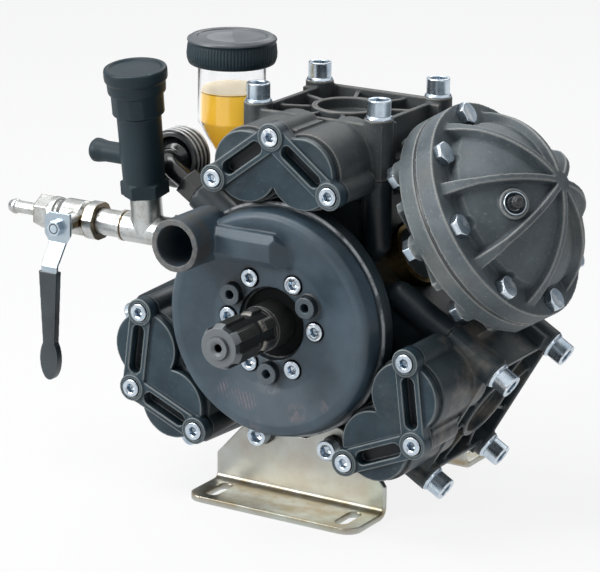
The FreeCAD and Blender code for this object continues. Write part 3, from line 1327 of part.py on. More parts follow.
def regulator_place():
    return Placement(line_point(0), Rotation(AXIS_X, size("regulator_lean")))


def make_regulator():
    place = regulator_place()
    low, high, top = size("regulator_hex_low"), size("regulator_hex_high"), size("regulator_body_top")
    body_r = size("regulator_body_r")
    foot = prism(size("regulator_hex_half"), Vector(0, 0, low), Vector(0, 0, high), 30)
    barrel = taper(body_r - 0.8, body_r, Vector(0, 0, high), Vector(0, 0, top))
    level, barb_r, lip_r = size("barb_level"), size("barb_r"), size("barb_lip_r")
    end, land = -size("barb_reach"), size("barb_land")
    def along(x):
        return Vector(x, 0, level)
    barb = [rod(barb_r, Vector(0, 0, level), along(end + land)),
            taper(lip_r, barb_r, along(end + land + 1), along(end + land + 8)),
            rod(lip_r, along(end + 1), along(end + land + 1)),
            taper(lip_r - 2, lip_r, along(end - 1.5), along(end + 1))]
    bore = rod(barb_r - 2.8, along(end - 2), along(-8))
    stem_bore = rod(8 + size("slide_gap"), Vector(0, 0, top - 20), Vector(0, 0, top + 1))
    built("regulator_housing", joined([foot, barrel] + barb).cut([bore, stem_bore]), place)
    turned("regulator_knob", [("0", "knob_low - 16"), ("8", "knob_low - 16"), ("8", "knob_low"),
                              ("knob_skirt_r", "knob_low"), ("knob_skirt_r", "knob_step - 1"),
                              ("knob_mid_r", "knob_step + 2"), ("knob_mid_r + 0.6", "knob_rim - 5"),
                              ("knob_rim_r", "knob_rim - 3"), ("knob_rim_r", "knob_top - 1"),
                              ("knob_rim_r - 1", "knob_top"), ("knob_rim_r - 4", "knob_top"),
                              ("knob_rim_r - 5", "knob_top - 1.5"), ("0", "knob_top - 1.5")],
           axis="Z", placement=place)


# Oil reservoir

def make_oil_cup():
    place = Placement(Vector(size("oil_x"), size("mid_y"), 0), Rotation())
    turned("oil_cup", [("oil_cone_low_r - oil_cup_wall", "oil_cone_low_z - 5"),
                       ("oil_cone_low_r", "oil_cone_low_z - 5"),
                       ("oil_cone_low_r", "oil_cone_low_z"), ("oil_cup_r", "oil_cone_top_z"),
                       ("oil_cup_r", "oil_cap_top_z - 5"), ("oil_cup_r - oil_cup_wall", "oil_cap_top_z - 5"),
                       ("oil_cup_r - oil_cup_wall", "oil_cone_top_z"),
                       ("oil_cone_low_r - oil_cup_wall", "oil_cone_low_z")], axis="Z", placement=place)
    floor = "oil_cone_low_z - 5 + loose_gap"
    turned("oil_fill", [("0", floor), ("oil_cone_low_r - oil_cup_wall - loose_gap", floor),
                        ("oil_cone_low_r - oil_cup_wall - loose_gap", "oil_cone_low_z"),
                        ("oil_cup_r - oil_cup_wall - loose_gap", "oil_cone_top_z"),
                        ("oil_cup_r - oil_cup_wall - loose_gap", "oil_level_z"), ("0", "oil_level_z")],
           axis="Z", placement=place)
    turned("oil_neck", [("0", "oil_boss_z + oil_boss_r"), ("oil_neck_r", "oil_boss_z + oil_boss_r"),
                        ("oil_neck_r", "oil_cone_low_z - 1"), ("oil_cone_low_r", "oil_cone_low_z - 1"),
                        ("oil_cone_low_r", "oil_cone_low_z - 5"), ("0", "oil_cone_low_z - 5")],
           axis="Z", placement=place)
    turned("oil_cap", [("0", "oil_cap_top_z - 5 + loose_gap"),
                       ("oil_cup_r + loose_gap", "oil_cap_top_z - 5 + loose_gap"),
                       ("oil_cup_r + loose_gap", "oil_cap_low_z"), ("oil_cap_r - 3", "oil_cap_low_z"),
                       ("oil_cap_r + 0.3", "oil_cap_low_z + 7"), ("oil_cap_r - 1", "oil_cap_top_z - 5"),
                       ("oil_cap_r", "oil_cap_top_z - 3"), ("oil_cap_r - 4", "oil_cap_top_z"),
                       ("oil_cap_r - 8", "oil_cap_top_z"), ("oil_cap_r - 9", "oil_cap_top_z - 1.5"),
                       ("0", "oil_cap_top_z - 1.5")], axis="Z", placement=place)


# Return coupling: a hexagon on the crankcase arm, a bent tube and a ribbed nut

def make_return_coupling():
    angle, y = size("arm_angle"), size("arm_y")
    start = around_shaft(size("arm_height"), angle, y)
    hexagon_end = around_shaft(size("arm_hex_height"), angle, y)
    built("arm_fitting", prism(size("arm_hex_half"), start, hexagon_end))
    bend = size("elbow_bend_r")
    knee = around_shaft(size("elbow_bend_height"), angle, y)
    way = (knee - hexagon_end).normalize()
    middle = knee + way * bend * math.sqrt(0.5) + AXIS_Y * bend * (1 - math.sqrt(0.5))
    turn_end = knee + way * bend + AXIS_Y * bend
    mouth = turn_end + AXIS_Y * 8
    run = [Part.LineSegment(hexagon_end, knee), Part.Arc(knee, middle, turn_end), Part.LineSegment(turn_end, mouth)]
    path = Part.Wire([piece.toShape() for piece in run])
    ring = Part.Wire([Part.Circle(hexagon_end, way, size("elbow_r")).toShape()])
    tube = path.makePipeShell([ring], True, True)
    collar = rod(size("coupling_bore_r") - 0.3, mouth, mouth + AXIS_Y * 4)
    built("return_elbow", tube.fuse(collar))
    make_ribbed_nut(mouth)


def make_ribbed_nut(mouth):
    """The ribbed coupling nut around the end of the bent tube."""
    low, high = size("coupling_y"), size("coupling_y") + size("coupling_long")
    outer, groove = size("coupling_r"), size("coupling_groove")
    pitch = (high - low) / 6
    outline = [(size("coupling_bore_r"), low), (outer - groove, low)]
    for step in range(6):
        base = low + pitch * step
        outline += [(outer, base + pitch * 0.3), (outer, base + pitch * 0.7), (outer - groove, base + pitch)]
    outline += [(size("elbow_r") + 2, high), (size("elbow_r") + 2, mouth.y + 4.1),
                (size("coupling_bore_r"), mouth.y + 4.1)]
    face = Part.Face(Part.makePolygon([Vector(r, y, 0) for r, y in outline + outline[:1]]))
    nut = face.revolve(Vector(0, 0, 0), AXIS_Y, 360)
    built("ribbed_nut", nut, Placement(Vector(mouth.x, 0, mouth.z), Rotation()))


make_crankcase()
make_rear_cover()
make_front_cover()
make_drive_train()
make_cylinders()
make_heads()
make_valves()
make_damper()
make_feet()
make_tee()
make_ball_valve()
make_regulator()
make_oil_cup()
make_return_coupling()
doc.recompute()

for item in doc.Objects:
    if "Invalid" in item.State or "Error" in item.State:
        raise RuntimeError(f"{item.Label} failed: {item.State}")
os.makedirs("parts", exist_ok=True)
for node, item in parts.items():
    shape = item.Shape
    if shape.isNull() or not shape.isValid() or not shape.Solids:
        raise RuntimeError(f"{node} has no valid solid")
    shape.exportStep(f"parts/{node}.step")
    print(node, len(shape.Solids), round(sum(solid.Volume for solid in shape.Solids)))
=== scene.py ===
import bpy
import bmesh
import math
import numpy as np
from mathutils import Matrix, Vector


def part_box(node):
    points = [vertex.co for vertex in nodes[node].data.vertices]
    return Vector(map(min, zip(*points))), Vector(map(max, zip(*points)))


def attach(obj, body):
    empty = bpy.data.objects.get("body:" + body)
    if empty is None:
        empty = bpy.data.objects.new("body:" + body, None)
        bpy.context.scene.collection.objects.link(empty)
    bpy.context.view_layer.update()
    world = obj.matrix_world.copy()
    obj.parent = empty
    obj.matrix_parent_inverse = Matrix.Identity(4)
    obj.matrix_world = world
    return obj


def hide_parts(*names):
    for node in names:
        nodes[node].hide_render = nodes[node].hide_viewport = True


# Radial diaphragm pump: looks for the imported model. Lengths in the settings are in millimetres,
# in the model's frame: -Y out along the splined shaft, +Z up, the damper towards +X.

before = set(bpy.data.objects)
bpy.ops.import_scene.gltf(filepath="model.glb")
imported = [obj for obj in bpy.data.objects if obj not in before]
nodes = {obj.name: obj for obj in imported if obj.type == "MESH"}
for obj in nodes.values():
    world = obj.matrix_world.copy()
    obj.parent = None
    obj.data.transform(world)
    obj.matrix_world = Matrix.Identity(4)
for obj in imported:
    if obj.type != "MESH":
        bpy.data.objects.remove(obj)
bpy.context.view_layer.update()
mm = 0.001
print("loaded", len(nodes), "nodes")


def addObject(name, data):
    thing = bpy.data.objects.new(name, data)
    bpy.context.scene.collection.objects.link(thing)
    return thing


def axesPlace(x, y, z, origin):
    # a place with these axes as the columns of its turn
    return Matrix.Translation(origin) @ Matrix((x, y, z)).transposed().to_4x4()


cameraSettings = {"azimuth": 31.2, "elevation": 16.4, "roll": 0.6, "right": 24.3, "up": 29.3,
                  "distance": 2222.0, "originY": 1.4, "lens": 180.0, "sensor": 36.0, "farEnd": 20000.0}


def placeCamera(s):
    # three unit vectors from azimuth and elevation, turned by the roll, are the camera's own axes
    a, e, roll = (math.radians(s[k]) for k in ("azimuth", "elevation", "roll"))
    right = Vector((math.cos(a), math.sin(a), 0))
    up = Vector((-math.sin(a) * math.sin(e), math.cos(a) * math.sin(e), math.cos(e)))
    back = Vector((math.sin(a) * math.cos(e), -math.cos(a) * math.cos(e), math.sin(e)))
    turnedRight = right * math.cos(roll) + up * math.sin(roll)
    turnedUp = up * math.cos(roll) - right * math.sin(roll)
    place = (turnedRight * s["right"] + turnedUp * s["up"] + back * s["distance"]) * mm
    place.y += s["originY"] * mm
    data = bpy.data.cameras.new("photoCamera")
    data.lens, data.sensor_width, data.clip_end = s["lens"], s["sensor"], s["farEnd"] * mm
    camera = addObject("photoCamera", data)
    camera.matrix_world = axesPlace(turnedRight, turnedUp, back, place)
    bpy.context.scene.camera = camera


placeCamera(cameraSettings)
bpy.context.scene.view_settings.view_transform = "Standard"

lampSettings = {
    # place and aim in metres, size in metres, power in watts
    "overheadPanel": ((-0.5, -0.25, 1.55), (0, 0.05, 0.02), 1.0, 20.0),
    "leftPanel": ((-1.25, -1.5, 0.8), (0, 0, 0), 0.9, 31.0),
    "rightPanel": ((1.9, -0.8, 0.3), (0.05, 0.05, 0), 0.6, 3.0),
    "backPanel": ((-0.5, 1.6, 1.2), (0, 0.1, 0), 1.0, 6.0),
}


def addLamps(settings):
    for name, (place, aim, size, power) in settings.items():
        data = bpy.data.lights.new(name, "AREA")
        data.energy, data.size = power, size
        lamp = addObject(name, data)
        lamp.location = place
        lamp.rotation_euler = (Vector(aim) - Vector(place)).to_track_quat("-Z", "Y").to_euler()


def feed(node, values):
    # each input takes another node's output, a colour or a number
    for key, value in values.items():
        socket = node.inputs[key]
        if isinstance(value, bpy.types.NodeSocket):
            node.id_data.links.new(value, socket)
        else:
            socket.default_value = (*value, 1.0) if socket.type == "RGBA" else value


def addNode(kind, values, tree=None, **choices):
    # where no tree is given, the node goes into the tree of the outputs that feed it
    if tree is None:
        tree = next(value.id_data for value in values.values() if isinstance(value, bpy.types.NodeSocket))
    node = tree.nodes.new("ShaderNode" + kind)
    for key, choice in choices.items():
        setattr(node, key, choice)
    feed(node, values)
    return node


def maths(kind, *values):
    return addNode("Math", dict(enumerate(values)), operation=kind).outputs[0]


def times(first, second):
    return maths("MULTIPLY", first, second)


def minus(first, second):
    return maths("SUBTRACT", first, second)


def squares(first, second):
    # first squared plus second squared
    return maths("MULTIPLY_ADD", second, second, times(first, first))


def split(where):
    return addNode("SeparateXYZ", {0: where}).outputs


def spread(value, low, high):
    # moves the part of a value between low and high onto 0 to 1
    return addNode("MapRange", {"Value": value, "From Min": low, "From Max": high}).outputs["Result"]


def blendColour(share, low, high):
    # a colour mix has its share at input 0 and its two colours at 6 and 7, with the result at output 2
    return addNode("Mix", {0: share, 6: low, 7: high}, data_type="RGBA").outputs[2]


def mixShader(share, first, second):
    return addNode("MixShader", {0: share, 1: first.outputs[0], 2: second.outputs[0]})


def seenRays(tree):
    # the kinds of ray, and a mask for what the camera sees straight or through glass
    rays = addNode("LightPath", {}, tree).outputs
    return rays, maths("MAXIMUM", rays["Is Camera Ray"], rays["Is Transmission Ray"])


worldSettings = {
    "fill": 0.21, "fillTone": (0.93, 1.0, 1.07), "white": (1.0, 1.0, 1.0),
    "low": (0.2, 0.23, 0.27), "mid": (0.06, 0.08, 0.11), "high": (1.0, 1.0, 1.0),
    "stops": ((0.0, "low"), (0.44, "low"), (0.5, "mid"), (0.6, "mid"), (0.72, "high"))}


def addWorld(s):
    # the camera sees plain white, mirrors see a white sky over a dark band, and the fill is even
    world = bpy.data.worlds.new("studio")
    world.use_nodes = True
    tree = world.node_tree
    tree.nodes.clear()
    where = addNode("TexCoord", {}, tree).outputs["Generated"]
    half = maths("MULTIPLY_ADD", split(where)["Z"], 0.5, 0.5)
    sky = addNode("ValToRGB", {0: half})
    stops = sky.color_ramp.elements
    while len(stops) < len(s["stops"]):
        stops.new(0.5)
    for stop, (place, tone) in zip(stops, s["stops"]):
        stop.position, stop.color = place, (*s[tone], 1.0)
    mirror = addNode("Background", {0: sky.outputs[0]})
    fill = addNode("Background", {0: s["fillTone"], 1: s["fill"]}, tree)
    white = addNode("Background", {0: s["white"]}, tree)
    rays, seen = seenRays(tree)
    lit = mixShader(rays["Is Glossy Ray"], fill, mirror)
    addNode("OutputWorld", {0: mixShader(seen, lit, white).outputs[0]})
    bpy.context.scene.world = world


floorSettings = {"z": -153.2, "half": 6000.0, "tone": (0.78, 0.78, 0.78), "glow": 0.87,
                 "white": (1.0, 1.0, 1.0)}


def addFloor(s):
    # one large pale square; the camera sees it lifted towards white, with the object's shadow kept
    z, half = s["z"] * mm, s["half"] * mm
    mesh = bpy.data.meshes.new("studioFloor")
    corners = [(-half, -half, z), (half, -half, z), (half, half, z), (-half, half, z)]
    mesh.from_pydata(corners, [], [(0, 1, 2, 3)])
    floor = addObject("studioFloor", mesh)
    material = bpy.data.materials.new("studioFloor")
    material.use_nodes = True
    tree = material.node_tree
    tree.nodes.clear()
    matt = addNode("BsdfDiffuse", {0: s["tone"]}, tree)
    glow = addNode("Emission", {0: s["white"]}, tree)
    rays, seen = seenRays(tree)
    lifted = times(maths("MAXIMUM", seen, rays["Is Glossy Ray"]), s["glow"])
    addNode("OutputMaterial", {0: mixShader(lifted, matt, glow).outputs[0]})
    mesh.materials.append(material)


addLamps(lampSettings)
addWorld(worldSettings)
addFloor(floorSettings)
print("studio ready")


def noise(where, scale, detail, rough):
    values = {"Vector": where, "Scale": scale, "Detail": detail, "Roughness": rough}
    return addNode("TexNoise", values).outputs["Fac"]


def cloud(where, s):
    # noise with its contrast raised: scale, detail and roughness, then the values that turn 0 and 1
    return spread(noise(where, *s[:3]), *s[3:])


def newGroup(name, inputs, outputs):
    group = bpy.data.node_groups.new(name, "ShaderNodeTree")
    for label, value in inputs.items():
        kind = "NodeSocketVector" if isinstance(value, tuple) else "NodeSocketFloat"
        group.interface.new_socket(name=label, in_out="INPUT", socket_type=kind).default_value = value
    for label in outputs:
        group.interface.new_socket(name=label, in_out="OUTPUT", socket_type="NodeSocketFloat")
    return group, group.nodes.new("NodeGroupInput").outputs, group.nodes.new("NodeGroupOutput")


grainSettings = {
    "grain": 900.0, "fine": (2.0, 0.6), "coarse": (210.0, 3.0, 0.6), "coarseShare": 0.8,
    "pits": (520.0, 1.0, 0.5, 0.66, 0.78), "pitDepth": -0.6,
    "patches": (26.0, 4.0, 0.6, 0.35, 0.68), "specks": (330.0, 2.0, 0.7, 0.6, 0.74)}
edgeSettings = {"low": 0.52, "high": 0.6, "cornerLow": 0.49, "cornerHigh": 0.42}
platedSettings = {"stretch": (1, 1, 30), "lines": (160.0, 3.0, 0.6), "stains": (55.0, 4.0, 0.6, 0.38, 0.7),
                  "dots": (600.0, 2.0, 0.6, 0.6, 0.72)}


def makeCastGrain(s):
    # sand grain: two sizes of noise and rare pits, as one height, and a large soft patch mask
    group, start, end = newGroup("castGrain", {"Vector": (0, 0, 0), "Grain Size": s["grain"]},
                                 ("Height", "Patches", "Specks"))
    where = start["Vector"]
    fine = noise(where, start["Grain Size"], *s["fine"])
    height = maths("MULTIPLY_ADD", noise(where, *s["coarse"]), s["coarseShare"], fine)
    height = maths("MULTIPLY_ADD", cloud(where, s["pits"]), s["pitDepth"], height)
    feed(end, {"Height": height, "Patches": cloud(where, s["patches"]), "Specks": cloud(where, s["specks"])})
    return group


def makeEdges(s):
    # convex edges and hollow corners from the mesh's own pointiness: masks for paler edges, partly worn and
    # partly a painted highlight, and for painted shade in the corners
    group, start, end = newGroup("edgesAndCorners", {"Edge Low": s["low"], "Edge High": s["high"]},
                                 ("Edges", "Corners"))
    shape = addNode("NewGeometry", {}, group).outputs["Pointiness"]
    feed(end, {"Edges": spread(shape, start["Edge Low"], start["Edge High"]),
               "Corners": spread(shape, s["cornerLow"], s["cornerHigh"])})
    return group


def makePlatedMarks(s):
    # fine lines round the part and soft stains, for plated and turned metal
    group, start, end = newGroup("platedMarks", {"Vector": (0, 0, 0), "Stretch": s["stretch"]},
                                 ("Lines", "Stains", "Dots"))
    where = start["Vector"]
    scaled = addNode("VectorMath", {0: where, 1: start["Stretch"]}, operation="MULTIPLY").outputs[0]
    feed(end, {"Lines": noise(scaled, *s["lines"]), "Stains": cloud(where, s["stains"]),
               "Dots": cloud(where, s["dots"])})
    return group


castGrain, edgesAndCorners = makeCastGrain(grainSettings), makeEdges(edgeSettings)
platedMarks = makePlatedMarks(platedSettings)


def startMaterial(name):
    material = bpy.data.materials.new(name)
    material.use_nodes = True
    tree = material.node_tree
    return material, tree, tree.nodes["Principled BSDF"], addNode("TexCoord", {}, tree).outputs["Object"]


def useGroup(group, values, tree=None):
    return addNode("Group", values, tree, node_tree=group).outputs


def marksOf(s, where):
    return s["marks"](where) if "marks" in s else []


def lay(tone, coats):
    # each coat is a mask, its strength and its colour, laid over the tone in turn
    for mask, share, colour in coats:
        tone = blendColour(times(mask, share), tone, colour)
    return tone


def bump(height, strength, distance):
    return addNode("Bump", {"Strength": strength, "Distance": distance * mm, "Height": height}).outputs[0]


def closeFinish(shader, s, tone, gloss, height):
    # the tone, a roughness that follows the gloss mask, and the height as a bump go into the shader
    feed(shader, {
        "Base Color": tone, "Roughness": maths("MULTIPLY_ADD", gloss, s["roughSpan"], s["rough"]),
        "Normal": bump(height, s["bump"], s["bumpReach"]), "Metallic": s["metallic"],
        "Specular IOR Level": s["specular"]})


castBase = {"edgeLow": 0.515, "edgeHigh": 0.6, "edgeWearAndHighlight": 0.9, "rubbed": (17.0, 5.0, 0.65, 0.52, 0.66),
            "rubShare": 0.3, "cornerShare": 0.8, "roughSpan": 0.16, "metallic": 0.0, "bumpReach": 0.4}
plasticBase = {"edgeLow": 0.51, "edgeHigh": 0.6, "edgeWearAndHighlight": 0.6, "grain": 1500.0, "roughSpan": 0.12,
               "metallic": 0.0, "bumpReach": 0.25}


def castFinish(name, settings, base=castBase):
    # cast or moulded: patches of tone, fine grain and paler edges, partly worn and partly a painted
    # highlight;
    # a casting also has brown rubbed places, specks and painted shade in its hollow corners
    s = {**base, **settings}
    material, tree, shader, where = startMaterial(name)
    grain = useGroup(castGrain, {"Vector": where, "Grain Size": s["grain"]})
    edges = useGroup(edgesAndCorners, {"Edge Low": s["edgeLow"], "Edge High": s["edgeHigh"]}, tree)
    tone = blendColour(grain["Patches"], s["dark"], s["light"])
    if "rub" in s:
        tone = lay(tone, [(cloud(where, s["rubbed"]), s["rubShare"], s["rub"]),
                          (grain["Specks"], s["speckShare"], s["speck"]),
                          # hollow corners: painted shade
                          (edges["Corners"], s["cornerShare"], s["cornerShade"])])
    # paler edges: partly wear, partly a painted highlight
    tone = lay(tone, [(edges["Edges"], s["edgeWearAndHighlight"], s["edge"]), *marksOf(s, where)])
    closeFinish(shader, s, tone, grain["Patches"], grain["Height"])
    return material


def plasticFinish(name, settings):
    return castFinish(name, settings, plasticBase)


metalBase = {
    "edgeLow": 0.51, "edgeHigh": 0.58, "edgeWearAndHighlight": 0.6, "dotShare": 0.4, "cornerShare": 0.4,
    "stretch": (1, 1, 1), "roughSpan": 0.2, "bump": 0.15, "metallic": 1.0, "specular": 0.5,
    "bumpReach": 0.1}


def metalFinish(name, settings):
    # plated metal: two close tones in stains, dark dots, drawn lines in the gloss; hollow corners take the
    # dot colour, mostly as painted shade, and edges are paler, partly worn and partly a painted highlight
    s = {**metalBase, **settings}
    material, tree, shader, where = startMaterial(name)
    plated = useGroup(platedMarks, {"Vector": where, "Stretch": s["stretch"]})
    edges = useGroup(edgesAndCorners, {"Edge Low": s["edgeLow"], "Edge High": s["edgeHigh"]}, tree)
    tone = lay(blendColour(plated["Stains"], s["base"], s["tint"]), [
        # dots in the dot colour; hollow corners in it too, mostly as painted shade
        (plated["Dots"], s["dotShare"], s["dot"]), (edges["Corners"], s["cornerShare"], s["dot"]),
        # paler edges: partly wear, partly a painted highlight
        (edges["Edges"], s["edgeWearAndHighlight"], s["edge"]), *marksOf(s, where)])
    closeFinish(shader, s, tone, plated["Lines"], plated["Lines"])
    return material


def between(value, low, high):
    # 0 at low and 1 at high, both in millimetres
    return spread(value, low * mm, high * mm)


def within(value, middle, half, soft):
    # 1 where the value is within half of the middle, falling to 0 over the soft width
    return between(maths("ABSOLUTE", minus(value, middle * mm)), half + soft, half)


def axisRadius(where, x=0.0, z=0.0):
    # distance from the line along Y through x and z; with neither it is the shaft's axis
    parts = split(where)
    return maths("SQRT", squares(minus(parts["X"], x * mm), minus(parts["Z"], z * mm)))


discMarks = {
    # colours and strengths of what is laid over the tone
    # black is painted shadow: over the hub round the shaft and in rings round the bosses and screws
    "black": (0.004, 0.005, 0.006), "pink": (0.17, 0.13, 0.15), "grey": (0.15, 0.17, 0.19),
    "facePaint": (0.8, (0.085, 0.105, 0.12)), "portPaint": (0.85, (0.062, 0.057, 0.05)),
    "mouthPaint": (0.75, (0.15, 0.145, 0.135)), "hubShadowShare": 0.95, "ringShadowShare": 0.85,
    # where: radii and depths from 0 to full strength, and the clouds that break them up
    "hub": (29.0, 27.0), "face": (0.6, 0.2), "faceCircle": (48.0, 46.0), "port": (-9.0, -16.0),
    "portCloud": (45.0, 5.0, 0.7, 0.36, 0.6), "mouth": (-30.8, -31.8),
    "mouthCloud": (140.0, 4.0, 0.7, 0.3, 0.55), "broken": (170.0, 5.0, 0.75, 0.4, 0.66),
    "oval": (1.0, 0.4), "slant": 0.45, "streakEdge": (-0.5, 0.7), "circle": 37.6, "depth": (0.2, 0.9),
    "ringSoft": 0.3, "ringFull": 0.8,
    # count, phase, inner and outer radius of the rings round the bosses and the screws
    "bosses": (3, 30.0, 7.9, 11.5), "screws": (6, 0.0, 6.9, 9.3),
    # x, z, half width, half height, width of the streaks, colour, strength
    "spots": ((-34.0, -56.0, 11.0, 9.0, 2.9, "pink", 0.9), (-19.0, -62.5, 11.0, 8.0, 2.9, "pink", 0.9),
              (25.5, -64.0, 10.0, 9.0, 0, "pink", 0.7), (50.0, -54.0, 5.5, 5.5, 0, "pink", 0.5),
              (-9.0, -79.0, 6.0, 7.0, 0, "pink", 0.45), (-2.5, -50.0, 13.0, 6.5, 0, "grey", 0.8))}


def smudge(where, s, x, z, wide, tall, streaks):
    # a soft oval at x and z on the front, broken up by noise and, for a wiped spot, by slanting streaks
    parts = split(where)
    across = times(minus(parts["X"], x * mm), 1 / (wide * mm))
    upward = times(minus(parts["Z"], z * mm), 1 / (tall * mm))
    oval = spread(squares(across, upward), *s["oval"])
    broken = cloud(where, s["broken"])
    if streaks:
        slant = maths("MULTIPLY_ADD", parts["Z"], s["slant"], parts["X"])
        lines = maths("SINE", times(slant, 2 * math.pi / (streaks * mm)))
        broken = times(broken, spread(lines, *s["streakEdge"]))
    return times(oval, broken)


def ringsRound(where, s, count, phase, inner, outer):
    # a ring round each of the equal spots on a circle: the angle is folded onto the nearest spot
    parts = split(where)
    angle = maths("ARCTAN2", parts["Z"], parts["X"])
    turns = maths("MULTIPLY_ADD", angle, count / (2 * math.pi), -phase * count / 360)
    arc = times(minus(turns, maths("ROUND", turns)), 2 * math.pi / count)
    radius = axisRadius(where)
    across = times(radius, maths("SINE", arc))
    outward = minus(times(radius, maths("COSINE", arc)), s["circle"] * mm)
    away = maths("SQRT", squares(outward, across))
    soft, full = s["ringSoft"], s["ringFull"]
    ring = times(between(away, inner - soft, inner + soft), between(away, outer, inner + full))
    return times(ring, between(parts["Y"], *s["depth"]))


def markDisc(where):
    # rubbed spots low on the disc, painted shadow over the hub round the shaft, rings of painted shadow round
    # the bosses and screws, and a brown port
    s = discMarks
    depth, radius = split(where)["Y"], axisRadius(where)
    face = times(between(depth, *s["face"]), between(radius, *s["faceCircle"]))
    port = times(between(depth, *s["port"]), cloud(where, s["portCloud"]))
    mouth = times(between(depth, *s["mouth"]), cloud(where, s["mouthCloud"]))
    return [*((smudge(where, s, *spot), share, s[tone]) for *spot, tone, share in s["spots"]),
            # painted shadow over the hub and round the bosses and screws
            (between(radius, *s["hub"]), s["hubShadowShare"], s["black"]),
            (ringsRound(where, s, *s["bosses"]), s["ringShadowShare"], s["black"]),
            (ringsRound(where, s, *s["screws"]), s["ringShadowShare"], s["black"]),
            (face, *s["facePaint"]), (port, *s["portPaint"]), (mouth, *s["mouthPaint"])]


flangeHighlight = {"rim": (88.8, 89.4), "y": (17.5, 0.8, 0.7), "broken": (90.0, 3.0, 0.6, 0.36, 0.52),
               "paint": (0.8, (0.42, 0.44, 0.46))}


def markFlangeHighlight(where):
    # a thin pale line, broken up, painted on the rim of the flange behind the disc as its highlight
    s = flangeHighlight
    rim = times(between(axisRadius(where), *s["rim"]), within(split(where)["Y"], *s["y"]))
    return [(times(rim, cloud(where, s["broken"])), *s["paint"])]


lineStainAndShade = {"fittings": ("regulator_tee", "line_union", "union_nut", "ball_valve_body"), "half": 0.5,
             "soft": 0.7, "paint": (0.8, (0.16, 0.11, 0.05))}


def markLine(where):
    # thin yellow-brown lines where one fitting of the delivery line meets the next: a brown stain and painted
    # shade in the step
    s = lineStainAndShade
    along = split(where)["X"]
    ends = [corner[0] / mm for name in s["fittings"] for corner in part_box(name)]
    del ends[1]  # the tee's inner end is hidden in the crankcase's boss
    return [(within(along, x, s["half"], s["soft"]), *s["paint"]) for x in ends]


shaftMarks = {
    "groove": (16.8, 15.6), "grooveShade": (0.95, (0.003, 0.004, 0.004)), "slope": (-59.2, -60.0),
    "tooth": (14.8, 15.1), "end": (-64.6, -64.9), "endPaint": (1.0, (0.14, 0.155, 0.165)),
    "foot": (8.9, 0.2, 0.4), "footShade": (0.85, (0.01, 0.012, 0.014)), "lock": (-29.6, 3.6, 1.6),
    "lockTooth": (15.0, 15.4), "lockCloud": (130.0, 3.0, 0.6, 0.36, 0.5),
    "lockPaint": (0.9, (0.33, 0.31, 0.275))}


def markShaft(where):
    # painted shade, black, between the teeth and in a ring at the foot of the end's boss; bare metal on the
    # shaft's end, the teeth's slopes and the locking groove
    s = shaftMarks
    depth, radius = split(where)["Y"], axisRadius(where)
    slope = times(between(depth, *s["slope"]), between(radius, *s["tooth"]))
    end = between(depth, *s["end"])
    lock = times(within(depth, *s["lock"]), between(radius, *s["lockTooth"]))
    # painted shade between the teeth and at the foot of the end's boss
    return [(between(radius, *s["groove"]), *s["grooveShade"]),
            (maths("MAXIMUM", end, slope), *s["endPaint"]),
            (times(within(radius, *s["foot"]), end), *s["footShade"]),
            (times(lock, cloud(where, s["lockCloud"])), *s["lockPaint"])]


coverSlotShade = {"floor": (13.0, 0.8, 1.2), "paint": (0.8, (0.002, 0.003, 0.004))}


def markCoverSlotShade(where):
    # painted shade, near black, on the floors of the two slots between the screws
    return [(within(split(where)["Y"], *coverSlotShade["floor"]), *coverSlotShade["paint"])]


leverNutMarks = {"ring": (3.7, 0.3, 0.4), "paint": (0.9, (0.03, 0.035, 0.04))}


def markLeverNut(where):
    # a dark ring round the stud that stands in the lever's nut
    low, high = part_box("lever_nut")
    radius = axisRadius(where, (low[0] + high[0]) / 2 / mm, (low[2] + high[2]) / 2 / mm)
    return [(within(radius, *leverNutMarks["ring"]), *leverNutMarks["paint"])]


damperSettings = {
    "angle": 31.6, "circle": 76.0, "phase": 88.2, "seat": 161.5, "bolts": 8, "bolt": (8.0, 6.4, 5.0, 45.0),
    "parting": (144.6, 0.9, 0.5), "partingPaint": (0.9, (0.004, 0.005, 0.006))}


def markDamper(where):
    # the dark parting line between the two halves
    s = damperSettings
    parts, a = split(where), math.radians(s["angle"])
    along = maths("MULTIPLY_ADD", parts["Z"], math.sin(a), times(parts["X"], math.cos(a)))
    return [(within(along, *s["parting"]), *s["partingPaint"])]


nutSettings = {
    "low": 82.8, "long": 20.6, "outer": 23.5, "bore": 17.5, "ribs": 4, "deep": 2.4, "x": -138.5,
    "z": 91.0, "step": 97.4, "innerBore": 10.2, "highlightAt": -0.42, "highlightEdge": (0.55, 0.85),
    "highlightSide": (-0.2, 0.3), "highlightPaint": (0.95, (0.58, 0.6, 0.6))}


def markRibHighlights(where):
    # a painted highlight: a pale line along the front of each rib of the nut, where a cosine of its depth is
    # near 1
    s = nutSettings
    depth, side = split(where)["Y"], [s["outer"] - s["deep"] + reach for reach in s["highlightSide"]]
    turns = maths("MULTIPLY_ADD", depth, s["ribs"] / (s["long"] * mm), -s["low"] * s["ribs"] / s["long"])
    ridge = maths("COSINE", times(maths("ADD", turns, s["highlightAt"]), 2 * math.pi))
    outside = between(axisRadius(where, s["x"], s["z"]), *side)
    return [(times(spread(ridge, *s["highlightEdge"]), outside), *s["highlightPaint"])]


bracketMarks = {
    "bands": (13.0, 3.0, 0.5), "purple": (0.5, 0.58), "purplePaint": (0.25, (0.42, 0.38, 0.42)),
    "green": (0.46, 0.38), "greenPaint": (0.25, (0.42, 0.49, 0.42)), "bendZ": 147.5, "bend": (4.5, 1.0),
    "bendCloud": (60.0, 3.0, 0.6, 0.3, 0.6), "bendPaint": (0.75, (0.28, 0.21, 0.1))}


